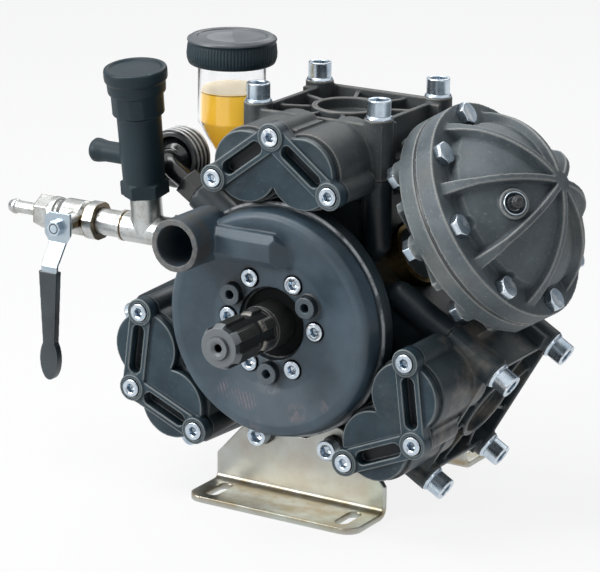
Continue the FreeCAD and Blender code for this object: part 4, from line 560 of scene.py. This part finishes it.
def markBracket(where):
    # faint purple and green bands of the plating, and a yellow-brown line along the bend
    s = bracketMarks
    bands = noise(where, *s["bands"])
    height = maths("ABSOLUTE", maths("ADD", split(where)["Z"], s["bendZ"] * mm))
    bend = times(between(height, *s["bend"]), cloud(where, s["bendCloud"]))
    return [(spread(bands, *s["purple"]), *s["purplePaint"]), (spread(bands, *s["green"]), *s["greenPaint"]),
            (bend, *s["bendPaint"])]


blackCast = {
    "dark": (0.014, 0.022, 0.028), "light": (0.031, 0.045, 0.055), "speck": (0.08, 0.092, 0.105),
    "speckShare": 0.25, "cornerShade": (0.003, 0.004, 0.005), "edge": (0.2, 0.205, 0.2), "edgeWearAndHighlight": 0.55,
    "rub": (0.075, 0.068, 0.058), "rubShare": 0.25, "grain": 1100.0, "rough": 0.34, "specular": 0.38,
    "bump": 0.34}
blackCasting = castFinish("blackCasting", blackCast)
caseCasting = castFinish("caseCasting", {**blackCast, "rubShare": 0.1, "marks": markFlangeHighlight})
rightCasting = castFinish("rightCasting", {
    **blackCast, "dark": (0.017, 0.026, 0.031), "light": (0.04, 0.055, 0.064), "rubShare": 1.0,
    "rub": (0.165, 0.15, 0.13)})
topCasting = castFinish("topCasting", {
    **blackCast, "dark": (0.031, 0.038, 0.042), "light": (0.072, 0.08, 0.082), "speck": (0.18, 0.18, 0.175),
    "cornerShade": (0.004, 0.005, 0.006), "edge": (0.34, 0.33, 0.305), "edgeWearAndHighlight": 0.9, "edgeLow": 0.508,
    "edgeHigh": 0.57, "rub": (0.14, 0.13, 0.11), "rough": 0.48})
greyCast = {
    "dark": (0.06, 0.077, 0.087), "light": (0.135, 0.16, 0.175), "speck": (0.27, 0.28, 0.28),
    "speckShare": 0.35, "cornerShade": (0.004, 0.006, 0.007), "edge": (0.42, 0.42, 0.4), "edgeLow": 0.506,
    "edgeHigh": 0.56, "rub": (0.19, 0.18, 0.16), "rubShare": 0.35, "grain": 900.0, "rough": 0.5,
    "specular": 0.45, "bump": 0.38, "marks": markDamper}
greyCasting = castFinish("greyCasting", greyCast)
baseCasting = castFinish("baseCasting", {
    **greyCast, "dark": (0.062, 0.08, 0.088), "light": (0.125, 0.15, 0.16)})
coverCasting = castFinish("coverCasting", {
    "dark": (0.012, 0.026, 0.036), "light": (0.03, 0.056, 0.074), "speck": (0.1, 0.14, 0.16),
    "speckShare": 0.3, "cornerShade": (0.002, 0.003, 0.004), "edge": (0.3, 0.33, 0.33), "edgeLow": 0.508,
    "edgeHigh": 0.56, "rub": (0.07, 0.08, 0.085), "grain": 1200.0, "rough": 0.32, "roughSpan": 0.14,
    "specular": 0.3, "bump": 0.26, "marks": markCoverSlotShade})
slateDisc = castFinish("slateDisc", {
    "dark": (0.028, 0.048, 0.066), "light": (0.05, 0.082, 0.11), "speck": (0.11, 0.13, 0.15),
    "speckShare": 0.18, "cornerShade": (0.004, 0.005, 0.006), "edge": (0.15, 0.18, 0.2), "edgeWearAndHighlight": 0.4,
    "rub": (0.075, 0.095, 0.11), "grain": 1500.0, "rough": 0.38, "roughSpan": 0.12, "specular": 0.5,
    "bump": 0.12, "marks": markDisc})

zinc = {"base": (0.58, 0.67, 0.75), "tint": (0.3, 0.39, 0.48), "dot": (0.1, 0.13, 0.16), "dotShare": 0.25,
        "edge": (0.93, 0.95, 0.97), "edgeWearAndHighlight": 0.8, "cornerShare": 0.8, "rough": 0.18}
zincSteel = metalFinish("zincSteel", zinc)
nutSteel = metalFinish("nutSteel", {**zinc, "marks": markLeverNut})
splineSteel = metalFinish("splineSteel", {
    "base": (0.01, 0.011, 0.011), "tint": (0.026, 0.025, 0.022), "dot": (0.07, 0.068, 0.062),
    "edge": (0.26, 0.255, 0.24), "cornerShare": 0.9, "stretch": (1, 0.2, 1), "rough": 0.36, "bump": 0.25,
    "metallic": 0.1, "marks": markShaft})
blackSteel = metalFinish("blackSteel", {
    "base": (0.012, 0.013, 0.014), "tint": (0.03, 0.03, 0.03), "dot": (0.05, 0.05, 0.05),
    "edge": (0.3, 0.28, 0.26), "edgeWearAndHighlight": 0.75, "cornerShare": 0.3, "stretch": (1, 0.2, 1), "rough": 0.3,
    "roughSpan": 0.18, "bump": 0.2, "metallic": 0.35})
nickel = {
    "base": (0.55, 0.575, 0.575), "tint": (0.35, 0.345, 0.32), "dot": (0.14, 0.11, 0.06),
    "dotShare": 0.5, "edge": (0.85, 0.86, 0.84), "cornerShare": 1.0, "rough": 0.24, "roughSpan": 0.18,
    "bump": 0.3}
nickelFitting = metalFinish("nickelFitting", nickel)
nickelLine = metalFinish("nickelLine", {**nickel, "marks": markLine})
brassFitting = metalFinish("brassFitting", {
    "base": (0.42, 0.28, 0.1), "tint": (0.2, 0.13, 0.05), "dot": (0.05, 0.035, 0.02),
    "edge": (0.6, 0.44, 0.2), "edgeWearAndHighlight": 0.5, "cornerShare": 0.6, "rough": 0.25, "bump": 0.2})
goldZinc = metalFinish("goldZinc", {
    "base": (0.46, 0.5, 0.46), "tint": (0.4, 0.39, 0.33), "dot": (0.3, 0.25, 0.16), "dotShare": 0.1,
    "edge": (0.8, 0.79, 0.72), "edgeWearAndHighlight": 0.4, "cornerShare": 0.3, "stretch": (0.3, 1, 1), "rough": 0.3,
    "roughSpan": 0.18, "bump": 0.1, "marks": markBracket})
leverSteel = metalFinish("leverSteel", {
    "base": (0.44, 0.52, 0.58), "tint": (0.37, 0.44, 0.5), "dot": (0.14, 0.17, 0.19), "dotShare": 0.3,
    "edge": (0.9, 0.92, 0.93), "edgeWearAndHighlight": 0.5, "stretch": (1, 1, 0.1), "rough": 0.2})
hiddenSteel = metalFinish("hiddenSteel", {
    "base": (0.45, 0.46, 0.47), "tint": (0.36, 0.37, 0.38), "dot": (0.15, 0.15, 0.15), "dotShare": 0.3,
    "edge": (0.7, 0.7, 0.7), "edgeWearAndHighlight": 0.4, "stretch": (1, 0.2, 1), "rough": 0.3})

blackPlastic = plasticFinish("blackPlastic", {
    "dark": (0.006, 0.018, 0.025), "light": (0.012, 0.028, 0.038), "edge": (0.1, 0.15, 0.17), "rough": 0.46,
    "specular": 0.32, "bump": 0.16})
greyPlastic = plasticFinish("greyPlastic", {
    "dark": (0.07, 0.08, 0.09), "light": (0.105, 0.118, 0.13), "edge": (0.26, 0.28, 0.3), "rough": 0.34,
    "specular": 0.5, "bump": 0.08})
glossBlack = plasticFinish("glossBlack", {
    "dark": (0.007, 0.008, 0.009), "light": (0.013, 0.014, 0.016), "edge": (0.22, 0.22, 0.21), "rough": 0.14,
    "specular": 0.8, "bump": 0.05})
ribBlack = plasticFinish("ribBlack", {
    "dark": (0.007, 0.008, 0.009), "light": (0.016, 0.017, 0.018), "edge": (0.3, 0.31, 0.31), "rough": 0.22,
    "specular": 0.7, "bump": 0.05, "marks": markRibHighlights})
rubber = {
    "dark": (0.012, 0.014, 0.016), "light": (0.024, 0.027, 0.03), "edge": (0.09, 0.1, 0.11), "edgeWearAndHighlight": 0.3,
    "grain": 1300.0, "rough": 0.32, "roughSpan": 0.15, "specular": 0.6, "bump": 0.08}
blackRubber = plasticFinish("blackRubber", rubber)
# the seal's rubber darkened nearly to black and made matt: painted shade round the shaft
shadowedSeal = plasticFinish("shadowedSeal", {
    **rubber, "dark": (0.003, 0.004, 0.004), "light": (0.006, 0.007, 0.008), "edge": (0.02, 0.02, 0.02),
    "rough": 0.8, "specular": 0.05})
blackVinyl = plasticFinish("blackVinyl", {
    "dark": (0.009, 0.016, 0.021), "light": (0.024, 0.038, 0.047), "edge": (0.2, 0.24, 0.26), "edgeWearAndHighlight": 0.5,
    "grain": 1100.0, "rough": 0.26, "roughSpan": 0.14, "specular": 0.7, "bump": 0.06})

clearSettings = {"tone": (0.98, 0.99, 1.0), "rough": 0.03, "bend": 1.3, "shade": 0.04,
                 "waves": (60.0, 2.0, 0.4), "bump": 0.06, "bumpReach": 0.4}


def clearFinish(name, s):
    # moulded clear cup: plain transmission; it throws only a faint shadow, so that light reaches the oil
    material, tree, shader, where = startMaterial(name)
    shadow = addNode("LightPath", {}, tree).outputs["Is Shadow Ray"]
    feed(shader, {
        "Base Color": s["tone"], "Transmission Weight": 1.0, "IOR": s["bend"], "Roughness": s["rough"],
        "Alpha": maths("MULTIPLY_ADD", shadow, s["shade"] - 1.0, 1.0),
        "Normal": bump(noise(where, *s["waves"]), s["bump"], s["bumpReach"])})
    return material


oilSettings = {
    "deep": (0.98, 0.46, 0.02), "pale": (1.0, 0.62, 0.07), "line": (0.16, 0.1, 0.03),
    "surface": (0.84, 0.76, 0.58), "through": 0.25, "low": 84.0, "high": 144.0, "rough": 0.1,
    "swirl": (40.0, 2.0, 0.5, 0.4, 0.7), "swirlShare": 0.2, "lineWide": (0.3, 0.3), "lineShare": 0.8,
    "surfaceShare": 0.75, "surfaceRise": (0.55, 0.8)}


def oilFinish(name, s):
    # oil: deep orange low in the cup, yellow towards its dark rim, pale on its surface, with a faint painted
    # glow from emission
    material, _, shader, where = startMaterial(name)
    height = split(where)["Z"]
    tone = blendColour(between(height, s["low"], s["high"]), s["deep"], s["pale"])
    top = [s["high"] + rise for rise in s["surfaceRise"]]
    tone = lay(tone, [(cloud(where, s["swirl"]), s["swirlShare"], s["deep"]),
                      (within(height, s["high"], *s["lineWide"]), s["lineShare"], s["line"]),
                      (between(height, *top), s["surfaceShare"], s["surface"])])
    # the emission is a painted glow, in place of light reaching the oil through the cup
    feed(shader, {"Base Color": tone, "Emission Color": tone, "Emission Strength": s["through"],
                  "Roughness": s["rough"]})
    return material


clearCup, amberOil = clearFinish("clearCup", clearSettings), oilFinish("amberOil", oilSettings)
print("finishes ready")

meshSettings = {"merge": 0.001, "quickVoxel": 1.6, "ease": 0.5}
softBodies = {"crankshaft": "crank", "valve_lever": "lever", "lever_nut": "lever", "lever_grip": "lever"}
softPieces = {
    # node: piece, finish, voxel, passes of easing, triangles
    "crankcase": ("castCrankcase", caseCasting, 1.5, 5, 170000),
    "front_cover": ("castFrontCover", slateDisc, 0.8, 3, 150000),
    "rear_cover": ("castRearCover", blackCasting, 1.5, 3, 40000),
    "head_top": ("castHeadTop", topCasting, 0.8, 3, 165000),
    "head_right": ("castHeadRight", rightCasting, 0.9, 3, 130000),
    "head_left": ("castHeadLeft", blackCasting, 1.2, 3, 100000),
    "valve_cover_top": ("castValveCoverTop", coverCasting, 0.6, 3, 90000),
    "valve_cover_right": ("castValveCoverRight", coverCasting, 0.6, 3, 90000),
    "valve_cover_left": ("castValveCoverLeft", coverCasting, 0.7, 3, 70000),
    "damper_dome": ("castDamperDome", greyCasting, 0.9, 3, 150000),
    "damper_base": ("castDamperBase", baseCasting, 1.1, 3, 110000),
    "foot_bracket_front": ("bentFootFront", goldZinc, 0.8, 2, 50000),
    "foot_bracket_rear": ("bentFootRear", goldZinc, 0.9, 2, 40000),
    "crankshaft": ("splinedShaft", splineSteel, 0.45, 1, 90000),
    "regulator_tee": ("nickelTee", nickelLine, 0.5, 3, 40000),
    "ball_valve_body": ("nickelValveBody", nickelLine, 0.45, 2, 50000),
    "union_nut": ("nickelUnionNut", nickelLine, 0.4, 2, 16000),
    "line_union": ("nickelUnionTube", nickelLine, 0.4, 2, 16000),
    "hose_tail": ("nickelHoseTail", nickelFitting, 0.3, 2, 16000),
    "valve_lever": ("leverBlade", leverSteel, 0.4, 2, 20000),
    "lever_nut": ("leverNut", nutSteel, 0.3, 2, 6000),
    "lever_grip": ("leverGrip", blackVinyl, 0.5, 6, 20000),
    "regulator_housing": ("regulatorHousing", blackPlastic, 0.6, 3, 60000),
    "arm_fitting": ("armHexagon", glossBlack, 0.4, 2, 12000),
    "return_elbow": ("bentTube", glossBlack, 0.5, 3, 24000),
    "bracket_collars": ("footCollars", blackSteel, 0.4, 2, 16000),
    "damper_nuts": ("damperNuts", zincSteel, 0.4, 2, 24000),
}


def cleanMesh(mesh, turnOut):
    work = bmesh.new()
    work.from_mesh(mesh)
    bmesh.ops.remove_doubles(work, verts=work.verts, dist=meshSettings["merge"] * mm)
    if turnOut:
        bmesh.ops.recalc_face_normals(work, faces=work.faces)
    work.to_mesh(mesh)
    work.free()


def bakeModifiers(piece):
    view = bpy.context.evaluated_depsgraph_get()
    view.update()
    old, fresh = piece.data, bpy.data.meshes.new_from_object(piece.evaluated_get(view))
    piece.modifiers.clear()
    piece.data = fresh
    bpy.data.meshes.remove(old)


def dressPiece(piece, material, body, replaced):
    piece.data.materials.append(material)
    piece.data.polygons.foreach_set("use_smooth", [True] * len(piece.data.polygons))
    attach(piece, body)
    if replaced:
        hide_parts(replaced)


def softCopy(nodeName, pieceName, material, voxel, passes, keep):
    # a solid with cast, rounded edges: copy, merge, voxel mesh of the given size, ease, thin to the
    # wanted triangles
    mesh = nodes[nodeName].data.copy()
    mesh.name = pieceName
    cleanMesh(mesh, False)
    piece = addObject(pieceName, mesh)
    remesh = piece.modifiers.new("remesh", "REMESH")
    remesh.mode = "VOXEL"
    remesh.voxel_size = voxel * 1.0 * mm
    smooth = piece.modifiers.new("smooth", "SMOOTH")
    smooth.factor, smooth.iterations = meshSettings["ease"], passes
    bakeModifiers(piece)
    faces = sum(len(polygon.vertices) - 2 for polygon in piece.data.polygons)
    if faces > keep:
        piece.modifiers.new("thin", "DECIMATE").ratio = keep / faces
        bakeModifiers(piece)
    piece.data.materials.clear()
    dressPiece(piece, material, softBodies.get(nodeName, "housing"), nodeName)


for nodeName, values in softPieces.items():
    softCopy(nodeName, *values)
print("castings ready")


def gridMesh(name, grids, material, body="housing", replaced=None):
    # each grid is rows x columns x 3 in millimetres, and its columns close on themselves
    vertices, faces, start = [], [], 0
    for points in grids:
        rows, columns = points.shape[:2]
        index = np.arange(rows * columns).reshape(rows, columns) + start
        after = np.roll(index, -1, axis=1)
        faces.append(np.stack([index[:-1], after[:-1], after[1:], index[1:]], axis=-1).reshape(-1, 4))
        vertices.append(points.reshape(-1, 3))
        start += rows * columns
    mesh = bpy.data.meshes.new(name)
    mesh.from_pydata((np.concatenate(vertices) * mm).tolist(), [], np.concatenate(faces).tolist())
    cleanMesh(mesh, True)
    piece = addObject(name, mesh)
    dressPiece(piece, material, body, replaced)
    return piece


def easedProfile(corners, ease, steps=4):
    # each corner of a radius and height outline becomes a short quadratic arc of the given reach
    corners = np.array(corners, float)
    path = [corners[0]]
    for before, corner, after in zip(corners[:-2], corners[1:-1], corners[2:]):
        inward, outward = before - corner, after - corner
        reach = min(ease, 0.45 * np.linalg.norm(inward), 0.45 * np.linalg.norm(outward))
        first = corner + inward / np.linalg.norm(inward) * reach
        last = corner + outward / np.linalg.norm(outward) * reach
        for share in np.linspace(0, 1, steps):
            path.append((1 - share) ** 2 * first + 2 * share * (1 - share) * corner + share ** 2 * last)
    path.append(corners[-1])
    return np.array(path)


def roundAngles(segments):
    return np.linspace(0, 2 * math.pi, segments, endpoint=False)


def ringGrid(rings, segments, wave=None):
    # rings of radius and height swept round Z: a radius is a number or one value for each angle, and
    # wave adds to it by radius, height and angle
    angle = roundAngles(segments)
    radius, height = (np.array([ring[part] * np.ones(segments) for ring in rings]) for part in (0, 1))
    if wave:
        radius = radius + wave(radius, height, angle[None, :])
    return np.stack([radius * np.cos(angle), radius * np.sin(angle), height], axis=-1)


def turnedGrid(corners, ease, segments=96, wave=None):
    return ringGrid(easedProfile(corners, ease), segments, wave)


def alongY(grid, x, z):
    # a grid round Z laid along Y, through x and z
    return grid[..., [0, 2, 1]] + np.array([x, 0.0, z])


def placed(points, place):
    return points @ np.array(place.to_3x3()).T + np.array(place.translation)


def placeAlong(way, origin, lead=(0, 0, 1)):
    # a place whose Z runs along the given way
    z = Vector(way).normalized()
    x = Vector(lead) - z * Vector(lead).dot(z)
    if x.length < 1e-4:
        x = Vector((1, 0, 0)) - z * z.x
    x.normalize()
    return axesPlace(x, z.cross(x), z, origin)


axisEnd = 0.001  # radius at which a closed outline meets its axis


def hexRadius(angle, halfFlat):
    # distance from the centre to a hexagon's side at each angle
    folded = (angle + math.pi / 6) % (math.pi / 3) - math.pi / 6
    return halfFlat / np.cos(folded)


capScrewSettings = {"headRound": 0.7, "socketDepth": 0.55, "chamfer": 0.5, "knurl": 0.12, "point": 0.8,
                    "foot": 0.4, "segments": 48}


def capScrewGrid(headRadius, headTall, threadRadius, long, halfSocket):
    # rings from the thread's end, up the head's side, over its rim and down into a hexagon socket
    s = capScrewSettings
    angle = roundAngles(s["segments"])
    hexagon = hexRadius(angle, halfSocket)
    edge, chamfer, point, foot = s["headRound"], s["chamfer"], s["point"], s["foot"]
    depth, end = headTall * s["socketDepth"], -headTall - long
    side = headRadius - s["knurl"] * (0.5 + 0.5 * np.cos(angle * s["segments"] / 2))
    mouth = np.maximum(hexagon + chamfer, halfSocket * 1.22)
    rings = [(axisEnd, end), (threadRadius - point, end), (threadRadius, end + point),
             (threadRadius, -headTall - 0.01), (threadRadius, -headTall), (headRadius - foot, -headTall),
             (side, -headTall + foot), (side, -headTall + foot + 0.1), (side, -edge * 2.2),
             (headRadius, -edge * 1.8), (headRadius, -edge)]
    for turn in np.array((0.35, 0.7, 1.0)) * math.pi / 2:
        rings.append((headRadius - edge * (1 - math.cos(turn)), -edge + edge * math.sin(turn)))
    rings += [(headRadius - edge - 0.15, 0.0), (mouth + 0.05, 0.0), (mouth, -0.05), (hexagon, -chamfer),
              (hexagon, -chamfer - 0.1), (hexagon, -depth + 0.1), (hexagon * 0.98, -depth),
              (axisEnd, -depth - headTall * 0.08)]
    return ringGrid(rings, s["segments"])


hexScrewSettings = {"point": 0.6, "washer": 0.97, "crown": 1.3, "cone": 1.17, "coneFall": 0.2,
                    "rounding": 0.12, "segments": 72}


def hexScrewGrid(halfFlat, headTall, threadRadius, long):
    # hexagon bolt head with a round chamfer on top, over a washer face and its thread
    s = hexScrewSettings
    hexagon = hexRadius(roundAngles(s["segments"]), halfFlat)
    hexagon = hexagon - s["rounding"] * (hexagon - halfFlat)
    point, washer = s["point"], halfFlat * s["washer"]
    rings = [(axisEnd, -long), (threadRadius - point, -long), (threadRadius, -long + point),
             (threadRadius, -0.01), (threadRadius, 0.0), (washer, 0.0), (washer, 0.35), (hexagon - 0.15, 0.4),
             (hexagon, 0.55)]
    for share in np.linspace(0.0, 1.0, 6):
        cone = halfFlat * (s["cone"] - s["coneFall"] * share)
        rings.append((np.minimum(hexagon, cone), headTall - s["crown"] + s["crown"] * share))
    rings += [(np.minimum(hexagon, halfFlat * 0.93), headTall), (halfFlat * 0.5, headTall - 0.15),
              (axisEnd, headTall - 0.15)]
    return ringGrid(rings, s["segments"])


layout = {
    "headAngles": (90.0, -30.0, 210.0), "midY": 116.0, "studT": 52.5, "studY": 45.0, "studTop": 165.0,
    "washerLow": 150.5,
    "washer": [(6.2, 0.0), (10.4, 0.0), (10.4, 0.7), (9.3, 2.5), (6.2, 2.5), (6.2, 0.0)],
    "earPlaces": ((0.0, 142.7), (49.7, 105.2), (-49.7, 105.2)), "earScrewY": 1.4,
    "coverScrewR": 37.7, "coverScrewY": 5.2, "rearScrewR": 68.0, "rearScrewY": 190.0,
    "footScrewX": 31.0, "footScrewZ": -103.0, "footScrewY": 36.0,
    # head radius, head height, thread radius, thread length, half width of the socket
    "stud": (9.0, 12.0, 6.0, 70.0, 5.0), "ear": (6.9, 8.0, 4.0, 30.0, 3.0),
    "disc": (6.9, 8.0, 4.0, 18.0, 3.0), "rear": (6.5, 8.0, 4.0, 15.0, 3.0),
    "foot": (8.0, 10.0, 5.0, 24.0, 4.0)}


def aroundShaft(t, rho, y, angle):
    # a place given for the top head, turned to the head at this angle
    turn = math.radians(angle - 90.0)
    return (t * math.cos(turn) - rho * math.sin(turn), y, t * math.sin(turn) + rho * math.cos(turn))


def onCircle(radius, y, degrees):
    return (radius * math.cos(math.radians(degrees)), y, radius * math.sin(math.radians(degrees)))


def makeScrews(p):
    def screw(kind, way, top, lead):
        return placed(capScrewGrid(*p[kind]), placeAlong(way, top, lead))

    front, studs, washers, ears = (0, -1, 0), [], [], []
    washerGrid = turnedGrid(p["washer"], 0.3, 48)
    for number, angle in enumerate(p["headAngles"]):
        way = onCircle(1.0, 0.0, angle)
        for t in (-p["studT"], p["studT"]):
            for y in (p["midY"] - p["studY"], p["midY"] + p["studY"]):
                lead = (math.sin(t + y + number), math.cos(3 * t + y + number), 0.3)
                studs.append(screw("stud", way, aroundShaft(t, p["studTop"], y, angle), lead))
                low = aroundShaft(t, p["washerLow"], y, angle)
                washers.append(placed(washerGrid, placeAlong(way, low)))
        for index, (t, rho) in enumerate(p["earPlaces"]):
            lead = (math.sin(index * 2.3 + number), 0.0, math.cos(index * 2.3 + number))
            ears.append(screw("ear", front, aroundShaft(t, rho, p["earScrewY"], angle), lead))
    discs, rears, feet = [], [], []
    for step in range(6):
        lead = (math.cos(1.7 * step), 0.0, math.sin(1.7 * step))
        top = onCircle(p["coverScrewR"], p["coverScrewY"], 60 * step)
        discs.append(screw("disc", front, top, lead))
        top = onCircle(p["rearScrewR"], p["rearScrewY"], 60 * step + 30)
        rears.append(screw("rear", (0, 1, 0), top, lead))
    for x in (-p["footScrewX"], p["footScrewX"]):
        for y, way in ((p["footScrewY"], -1), (2 * p["midY"] - p["footScrewY"], 1)):
            feet.append(screw("foot", (0, way, 0), (x, y, p["footScrewZ"]), (1, 0, 0.4)))
    for name, grids, replaced in (
            ("headStuds", studs, "head_bolts"), ("headWashers", washers, "head_washers"),
            ("valveCoverScrews", ears, "valve_cover_screws"),
            ("frontCoverScrews", discs, "front_cover_screws"),
            ("rearCoverScrews", rears, "rear_cover_screws"), ("footScrews", feet, "bracket_screws")):
        gridMesh(name, grids, zincSteel, "housing", replaced)


def damperPlace(s):
    # the damper's own frame: Z out along its axis, and -Y of the pump leads the phase
    y, z = Vector((0, 1, 0)), Vector(onCircle(1.0, 0.0, s["angle"]))
    return axesPlace(y.cross(z), y, z, (0, layout["midY"], 0))


def makeDamperBolts(s):
    bolts = []
    for step in range(s["bolts"]):
        a = math.radians(s["phase"] + 360 / s["bolts"] * step)
        spot = damperPlace(s) @ Vector((s["circle"] * math.sin(a), -s["circle"] * math.cos(a), s["seat"]))
        lead = (math.cos(step * 1.9), math.sin(step * 1.9), 0.2)
        place = placeAlong(onCircle(1.0, 0.0, s["angle"]), spot, lead)
        bolts.append(placed(hexScrewGrid(*s["bolt"]), place))
    gridMesh("damperBolts", bolts, zincSteel, "housing", "damper_bolts")


makeScrews(layout)
makeDamperBolts(damperSettings)
print("screws ready")


def turnedPiece(name, outline, ease, segments, place, material, body="housing", replaced=None, wave=None):
    # an outline of radius and height turned round the Z of its place
    grid = placed(turnedGrid(outline, ease, segments, wave), place)
    return gridMesh(name, [grid], material, body, replaced)


cupSettings = {
    "at": (-105.0, 116.0, 0.0),
    "wall": [(6.5, 79.0), (8.5, 79.0), (8.5, 84.0), (26.5, 120.0), (26.5, 182.4), (24.5, 182.4),
             (24.5, 120.6), (6.5, 84.5), (6.5, 79.0)],
    "fill": [(axisEnd, 79.2), (6.35, 79.2), (6.35, 84.6), (24.35, 120.7), (24.35, 144.6), (23.6, 145.0),
             (axisEnd, 144.9)],
    "neck": [(axisEnd, 76.0), (13.0, 76.0), (13.0, 83.0), (8.6, 83.0), (8.6, 79.0), (axisEnd, 79.0)]}


def makeOilCup(s):
    place = Matrix.Translation(s["at"])
    turnedPiece("oilCup", s["wall"], 1.2, 96, place, clearCup, replaced="oil_cup")
    turnedPiece("oilFill", s["fill"], 0.6, 96, place, amberOil, replaced="oil_fill")
    turnedPiece("oilNeck", s["neck"], 0.6, 64, place, greyPlastic, replaced="oil_neck")


capSettings = {
    "ribs": 84, "ribDeep": 0.55, "ribLow": 167.0, "ribHigh": 182.2, "ribFade": 1.5, "ribInner": 31.0,
    "skirt": [(26.65, 182.4), (26.65, 165.0), (31.6, 165.0), (33.6, 166.2), (35.0, 170.0), (35.3, 174.0),
              (34.6, 180.6), (34.0, 182.4), (34.9, 184.0), (34.4, 185.4), (31.4, 187.3), (28.4, 187.4),
              (27.2, 187.1), (26.6, 186.2), (20.0, 185.9), (axisEnd, 185.9)],
    "top": [(34.95, 184.15), (34.6, 185.55), (31.5, 187.4), (28.4, 187.52), (27.1, 187.2), (26.5, 186.3),
            (20.0, 186.0), (axisEnd, 186.0)]}


def makeOilCap(s):
    def ribs(radius, height, angle):
        # fine upright ribs on the cap's side only, fading out at both its ends
        low, high = (height - s["ribLow"]) / s["ribFade"], (s["ribHigh"] - height) / s["ribFade"]
        side = np.clip(low, 0, 1) * np.clip(high, 0, 1) * (radius > s["ribInner"])
        return side * s["ribDeep"] * (np.abs(np.cos(angle * s["ribs"] / 2)) ** 0.6 - 1.0)
    place = Matrix.Translation(cupSettings["at"])
    turnedPiece("oilCap", s["skirt"], 0.7, s["ribs"] * 6, place, blackPlastic, "cap", "oil_cap", ribs)
    disc = turnedPiece("oilCapTop", s["top"], 0.5, 96, place, greyPlastic, "cap")


knobSettings = {
    "lean": 7.5, "at": (-143.2, 56.4, 39.7), "sides": 12, "flatLow": 97.0, "flatHigh": 112.5,
    "flatInner": 15.0, "flatShare": 0.55, "flatDeep": 0.25,
    "outline": [(axisEnd, 80.0), (8.0, 80.0), (8.0, 96.0), (19.6, 96.0), (20.2, 97.0), (20.4, 112.0),
                (21.9, 113.2), (22.4, 114.4), (22.8, 121.8), (24.2, 123.6), (24.5, 126.0), (24.5, 130.6),
                (24.0, 132.4), (22.6, 133.0), (20.9, 133.0), (20.0, 132.2), (19.4, 131.5), (10.0, 131.4),
                (axisEnd, 131.4)]}


def makeKnob(s):
    half, lean = math.pi / s["sides"], math.radians(s["lean"])

    def flats(radius, height, angle):
        # the skirt is slightly twelve-sided, and the rim keeps round
        side = (height < s["flatHigh"]) & (height > s["flatLow"]) & (radius > s["flatInner"])
        folded = (angle + half) % (2 * half) - half
        return side * (s["flatShare"] * (1 / np.cos(folded) - 1.0) * radius - s["flatDeep"])
    place = placeAlong((0, -math.sin(lean), math.cos(lean)), s["at"], (1, 0, 0))
    turnedPiece("regulatorKnob", s["outline"], 0.6, 144, place, blackPlastic, "knob", "regulator_knob", flats)


def makeRibbedNut(s):
    # rounded ribs: each is half a turn of a cosine raised above the groove
    low, bore, step = s["low"], s["bore"], s["step"]
    steps = np.linspace(0, s["ribs"], s["ribs"] * 12 + 1)
    lift = np.clip(0.5 - 0.5 * np.cos(2 * math.pi * steps), 0, 1) ** 0.6
    ribs = zip(s["outer"] - s["deep"] + s["deep"] * lift, low + steps * s["long"] / s["ribs"])
    path = [(bore, step), (bore, low + 1.2), (bore + 0.8, low), *ribs, (s["innerBore"], low + s["long"]),
            (s["innerBore"], step), (bore, step)]
    gridMesh("ribbedNut", [alongY(ringGrid(path, 96), s["x"], s["z"])], ribBlack, "housing", "ribbed_nut")


hoodSettings = {
    "outline": [(axisEnd, 78.6), (8.5, 78.6), (9.2, 80.6), (11.6, 83.0), (14.4, 86.2), (16.4, 90.4),
                (17.1, 94.0), (17.1, 97.2), (axisEnd, 97.2)], "ease": 1.4}


def makeHood(s, x, z):
    # a moulded cone round the bent tube that fills the nut's bore: radius and depth outline swept round Y
    hood = gridMesh("returnHood", [alongY(turnedGrid(s["outline"], s["ease"]), x, z)], glossBlack)


valveSettings = {
    "at": (0.0, -44.0, 193.54), "way": (0.0, -0.5766, 0.8171), "ridges": 14, "ridgeDeep": 0.22,
    "ring": [(axisEnd, -5.0), (7.9, -5.0), (7.9, 3.05), (9.0, 3.1), (9.1, 4.0), (8.6, 4.7), (8.0, 4.7),
             (5.6, 1.6), (axisEnd, 1.4)],
    "cap": [(axisEnd, 0.9), (4.8, 0.9), (5.0, 9.4), (4.5, 10.6), (3.4, 11.0), (3.2, 12.6), (2.6, 13.2),
            (1.6, 13.2), (1.4, 12.4), (axisEnd, 12.4)]}


def makeAirValve(s):
    # a rounded plated ring in the dome's boss, and a ridged black cap standing in it
    def ridges(radius, height, angle):
        return s["ridgeDeep"] * np.cos(angle * s["ridges"]) * ((height > 1.5) & (height < 9.6) & (radius > 3))
    place = damperPlace(damperSettings) @ placeAlong(s["way"], s["at"])
    turnedPiece("valveRing", s["ring"], 0.4, 72, place, leverSteel, replaced="air_valve")
    cap = turnedPiece("valveCap", s["cap"], 0.5, 140, place, blackRubber, wave=ridges)


makeOilCup(cupSettings)
makeOilCap(capSettings)
makeKnob(knobSettings)
makeRibbedNut(nutSettings)
makeHood(hoodSettings, nutSettings["x"], nutSettings["z"])
makeAirValve(valveSettings)
print("turned pieces ready")

# solids that keep their CAD shape get their finish here
sides = ("top", "right", "left")
valvePlates = [f"{kind}_valve_{side}" for side in sides for kind in ("suction", "delivery")]
plainFinishes = [
    (hiddenSteel, ["front_bearing", "rear_bearing", "eccentric_bearing", "cylinder_sleeves", *valvePlates]),
    (greyCasting, [f"piston_{side}" for side in sides]), (blackRubber, ["diaphragms", "damper_membrane"]),
    (shadowedSeal, ["shaft_seal"]), (blackPlastic, ["valve_seats"]), (brassFitting, ["damper_nipple"]),
    (nickelFitting, ["valve_ball"])]
for material, names in plainFinishes:
    for name in names:
        nodes[name].data.materials.clear()
        nodes[name].data.materials.append(material)

print("all pieces ready")
